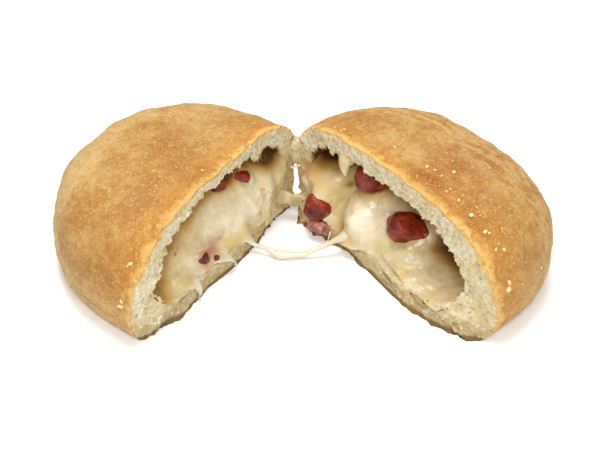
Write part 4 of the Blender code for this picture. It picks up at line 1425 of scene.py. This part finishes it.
string_finish = melted_mozzarella("drawn_cheese", paint(216, 210, 190), paint(206, 196, 166), roughness=0.3)
web_finish = melted_mozzarella("cheese_web", paint(188, 166, 116), paint(174, 150, 98), roughness=0.45)
strands = [("cheese_web", WEB, web_finish, WEB_RELIEF)]
for k, route in enumerate(STRINGS):
    strands.append((f"cheese_string_{k + 1}", route, string_finish, STRAND_RELIEF))
for k, route in enumerate(THREADS):
    strands.append((f"cheese_thread_{k + 1}", route, string_finish, {}))
strands.append(("cheese_drip", DRIP, mozzarella_finish, STRAND_RELIEF))
for kind, routes in (("thread_left", LEFT_THREADS), ("drape", DRAPES)):
    for k, route in enumerate(routes):
        placed = [(tuple(in_metres(LEFT, np.array(place)) / MM), *sizes) for place, *sizes in route]
        strands.append((f"cheese_{kind}_{k + 1}", placed, string_finish, STRAND_RELIEF))
for name, knots, finish, relief in strands:
    rings = strand_points(knots)
    values = {"relief": np.ones(rings.shape[:2])}
    values |= {key: np.zeros(rings.shape[:2]) for key in ("oily", "pink", "deep", "milky")}
    strand = put_in_scene(name, wrapped_mesh(name, rings, values))
    modelled(strand, surface_relief, finish, relief | {"Seed": 30.0})
    dress(strand, "cheese", "cheese")

# ============================================================================ salami and ham
# Dice of cured salami, dark red with fibres, cracks and flecks of fat, and a scrap of pink ham,
# half sunk in the cheese. They were cut with a knife, and the oven rounded and shrank them.

DICE_CUTS = 52
DICE_SHRINK = 0.05  # share of its size by which a die's surface wanders
DICE_RELIEF = {"Swell size": 0.0045, "Swell depth": 0.0006, "Tuft size": 0.0012, "Tuft depth": 0.0003}
DICE_RELIEF |= {"Grain size": 0.0028, "Grain depth": 0.0003, "Ruffle size": 0.003, "Ruffle depth": 0.0004}
HAM_FOLDS = {"Swell size": 0.0032, "Swell depth": 0.0024, "Ruffle depth": 0.0014}


def cured_meat(name, dark, middle, light, fat_share):
    """Meat with painted shade in its hollows and a painted highlight on its ridges, fine fibres and flecks
    of fat, glossy with oil.
    """
    material, tree, shader = new_material(name)
    place = node(tree, "ShaderNodeTexCoord").outputs["Object"]
    cloud = noise_value(tree, place, 0.0042, detail=3.0, seed=8.0)
    drawn = node(tree, "ShaderNodeMapping", {"Vector": place, "Scale": (1.0, 1.0, 0.4)}).outputs[0]
    fibre = noise_value(tree, drawn, 0.0009, detail=3.0, seed=9.0)
    fat = noise_value(tree, place, 0.0026, detail=2.0, seed=10.0)
    meat = blend_colour(tree, ramp(tree, cloud, 0.36, 0.62), dark, middle)
    raised = attribute(tree, "raised")
    # Painted highlight on the ridges and painted shade in the hollows of the relief.
    meat = blend_colour(tree, ramp(tree, raised, 0.05, 0.6, 0.0, 0.8), meat, light)
    meat = blend_colour(tree, ramp(tree, raised, 0.0, -0.5, 0.0, 0.8), meat, dark)
    meat = blend_colour(tree, ramp(tree, fibre, 0.5, 0.3, 0.0, 0.6), meat, dark)
    meat = tinted(tree, meat, fat, 0.64, 0.72, fat_share, (206, 138, 104))
    tree.links.new(meat, shader.inputs["Base Color"])
    set_finish(
        shader,
        roughness=0.4,
        specular_ior_level=0.3,
        coat_weight=0.15,
        coat_roughness=0.12,
        subsurface_weight=0.08,
        subsurface_radius=(0.003, 0.001, 0.0006),
    )
    bump(tree, shader, fibre, 0.0006, 0.6)
    return material


def die_mesh(name, half, place, sizes, tilts, squareness, seed):
    """A cube with rounded edges and uneven sides, cut fine enough for its fibres to stand out.

    A squareness of 2 is a ball, and more is nearer to a sharp cube. The first is that of its
    plan and the second that of its sides.
    """
    shape = bmesh.new()
    bmesh.ops.create_cube(shape, size=2.0)
    bmesh.ops.subdivide_edges(shape, edges=shape.edges, cuts=DICE_CUTS, use_grid_fill=True)
    lean = Euler([math.radians(tilt) for tilt in tilts]).to_matrix()
    centre = Vector(in_metres(half, np.array(place)))
    plan, side = squareness
    for point in shape.verts:
        round_plan = (abs(point.co.x) ** plan + abs(point.co.y) ** plan) ** (1 / plan)
        rounded = point.co / (round_plan**side + abs(point.co.z) ** side) ** (1 / side)
        wander = 1.0 + DICE_SHRINK * noise.fractal(rounded * 1.4 + Vector((seed, 0, 0)), 1.0, 2.0, 2)
        scaled = [rounded[k] * wander * sizes[k] / 2 * MM for k in range(3)]
        point.co = centre + lean @ Vector(scaled)
    mesh = bpy.data.meshes.new(name)
    shape.to_mesh(mesh)
    carry(mesh, {"relief": np.ones(len(mesh.vertices))})
    shape.free()
    return mesh


salami_finish = cured_meat("cured_salami", paint(84, 20, 6), paint(146, 44, 16), paint(214, 112, 54), 0.7)
ham_finish = cured_meat("cooked_ham", paint(136, 76, 64), paint(178, 118, 106), paint(208, 158, 144), 0.4)
for number, (half, name, place, sizes, tilts, squareness) in enumerate(DICE):
    seed = 20.0 + number
    die = put_in_scene(f"cured_{name}", die_mesh(name, half, place, sizes, tilts, squareness, seed))
    finish = ham_finish if name.startswith("ham") else salami_finish
    relief = DICE_RELIEF | {"Seed": seed} | (HAM_FOLDS if finish is ham_finish else {})
    modelled(die, surface_relief, finish, relief)
    dress(die, "salami", name)

# =================================================================== floor, light and camera
# A pale floor under soft studio light, seen from the front at the height of a standing cook.

CAMERA_TARGET = Vector((-0.00076, -0.00895, 0.0227))
CAMERA_ELEVATION = math.radians(40.0)
CAMERA_DISTANCE = 0.80
CAMERA_LENS = 130.0
FLOOR_SIZE = 6.0
PALE = (0.95, 0.95, 0.95, 1.0)
STUDIO_LIGHT = 0.55
SOFTBOXES = (  # name, place, width and power
    ("overhead", (-0.05, 0.10, 0.95), 0.5, 7.0),
    ("front", (0.06, -0.66, 0.66), 0.35, 3.8),
    ("glint", (-0.10, -0.55, 0.75), 0.03, 0.5),
)

bpy.ops.mesh.primitive_plane_add(size=FLOOR_SIZE)
floor = bpy.context.object
floor.name = "floor"
floor_paint, _, floor_shader = new_material("floor_paint")
set_finish(floor_shader, base_color=PALE, roughness=0.9)
floor.data.materials.append(floor_paint)

world = bpy.data.worlds.new("studio")
bpy.context.scene.world = world
world.use_nodes = True
sky = world.node_tree.nodes["Background"]
sky.inputs["Color"].default_value = (1.0, 1.0, 1.0, 1.0)
sky.inputs["Strength"].default_value = STUDIO_LIGHT


def aimed(name, data, place, towards):
    """A light or camera that stands at a place and looks in a direction."""
    made = bpy.data.objects.new(name, data)
    bpy.context.scene.collection.objects.link(made)
    made.location = place
    made.rotation_mode = "QUATERNION"
    made.rotation_quaternion = towards.to_track_quat("-Z", "Y")
    return made


for name, place, width, power in SOFTBOXES:
    light = bpy.data.lights.new(name, "AREA")
    light.shape = "DISK"
    light.size = width
    light.energy = power
    aimed(name, light, place, CAMERA_TARGET - Vector(place))

view_data = bpy.data.cameras.new("camera")
view_data.lens = CAMERA_LENS
back = Vector((0.0, -math.cos(CAMERA_ELEVATION), math.sin(CAMERA_ELEVATION)))
camera = aimed("camera", view_data, CAMERA_TARGET + back * CAMERA_DISTANCE, -back)
bpy.context.scene.camera = camera
bpy.context.scene.view_settings.view_transform = "Standard"
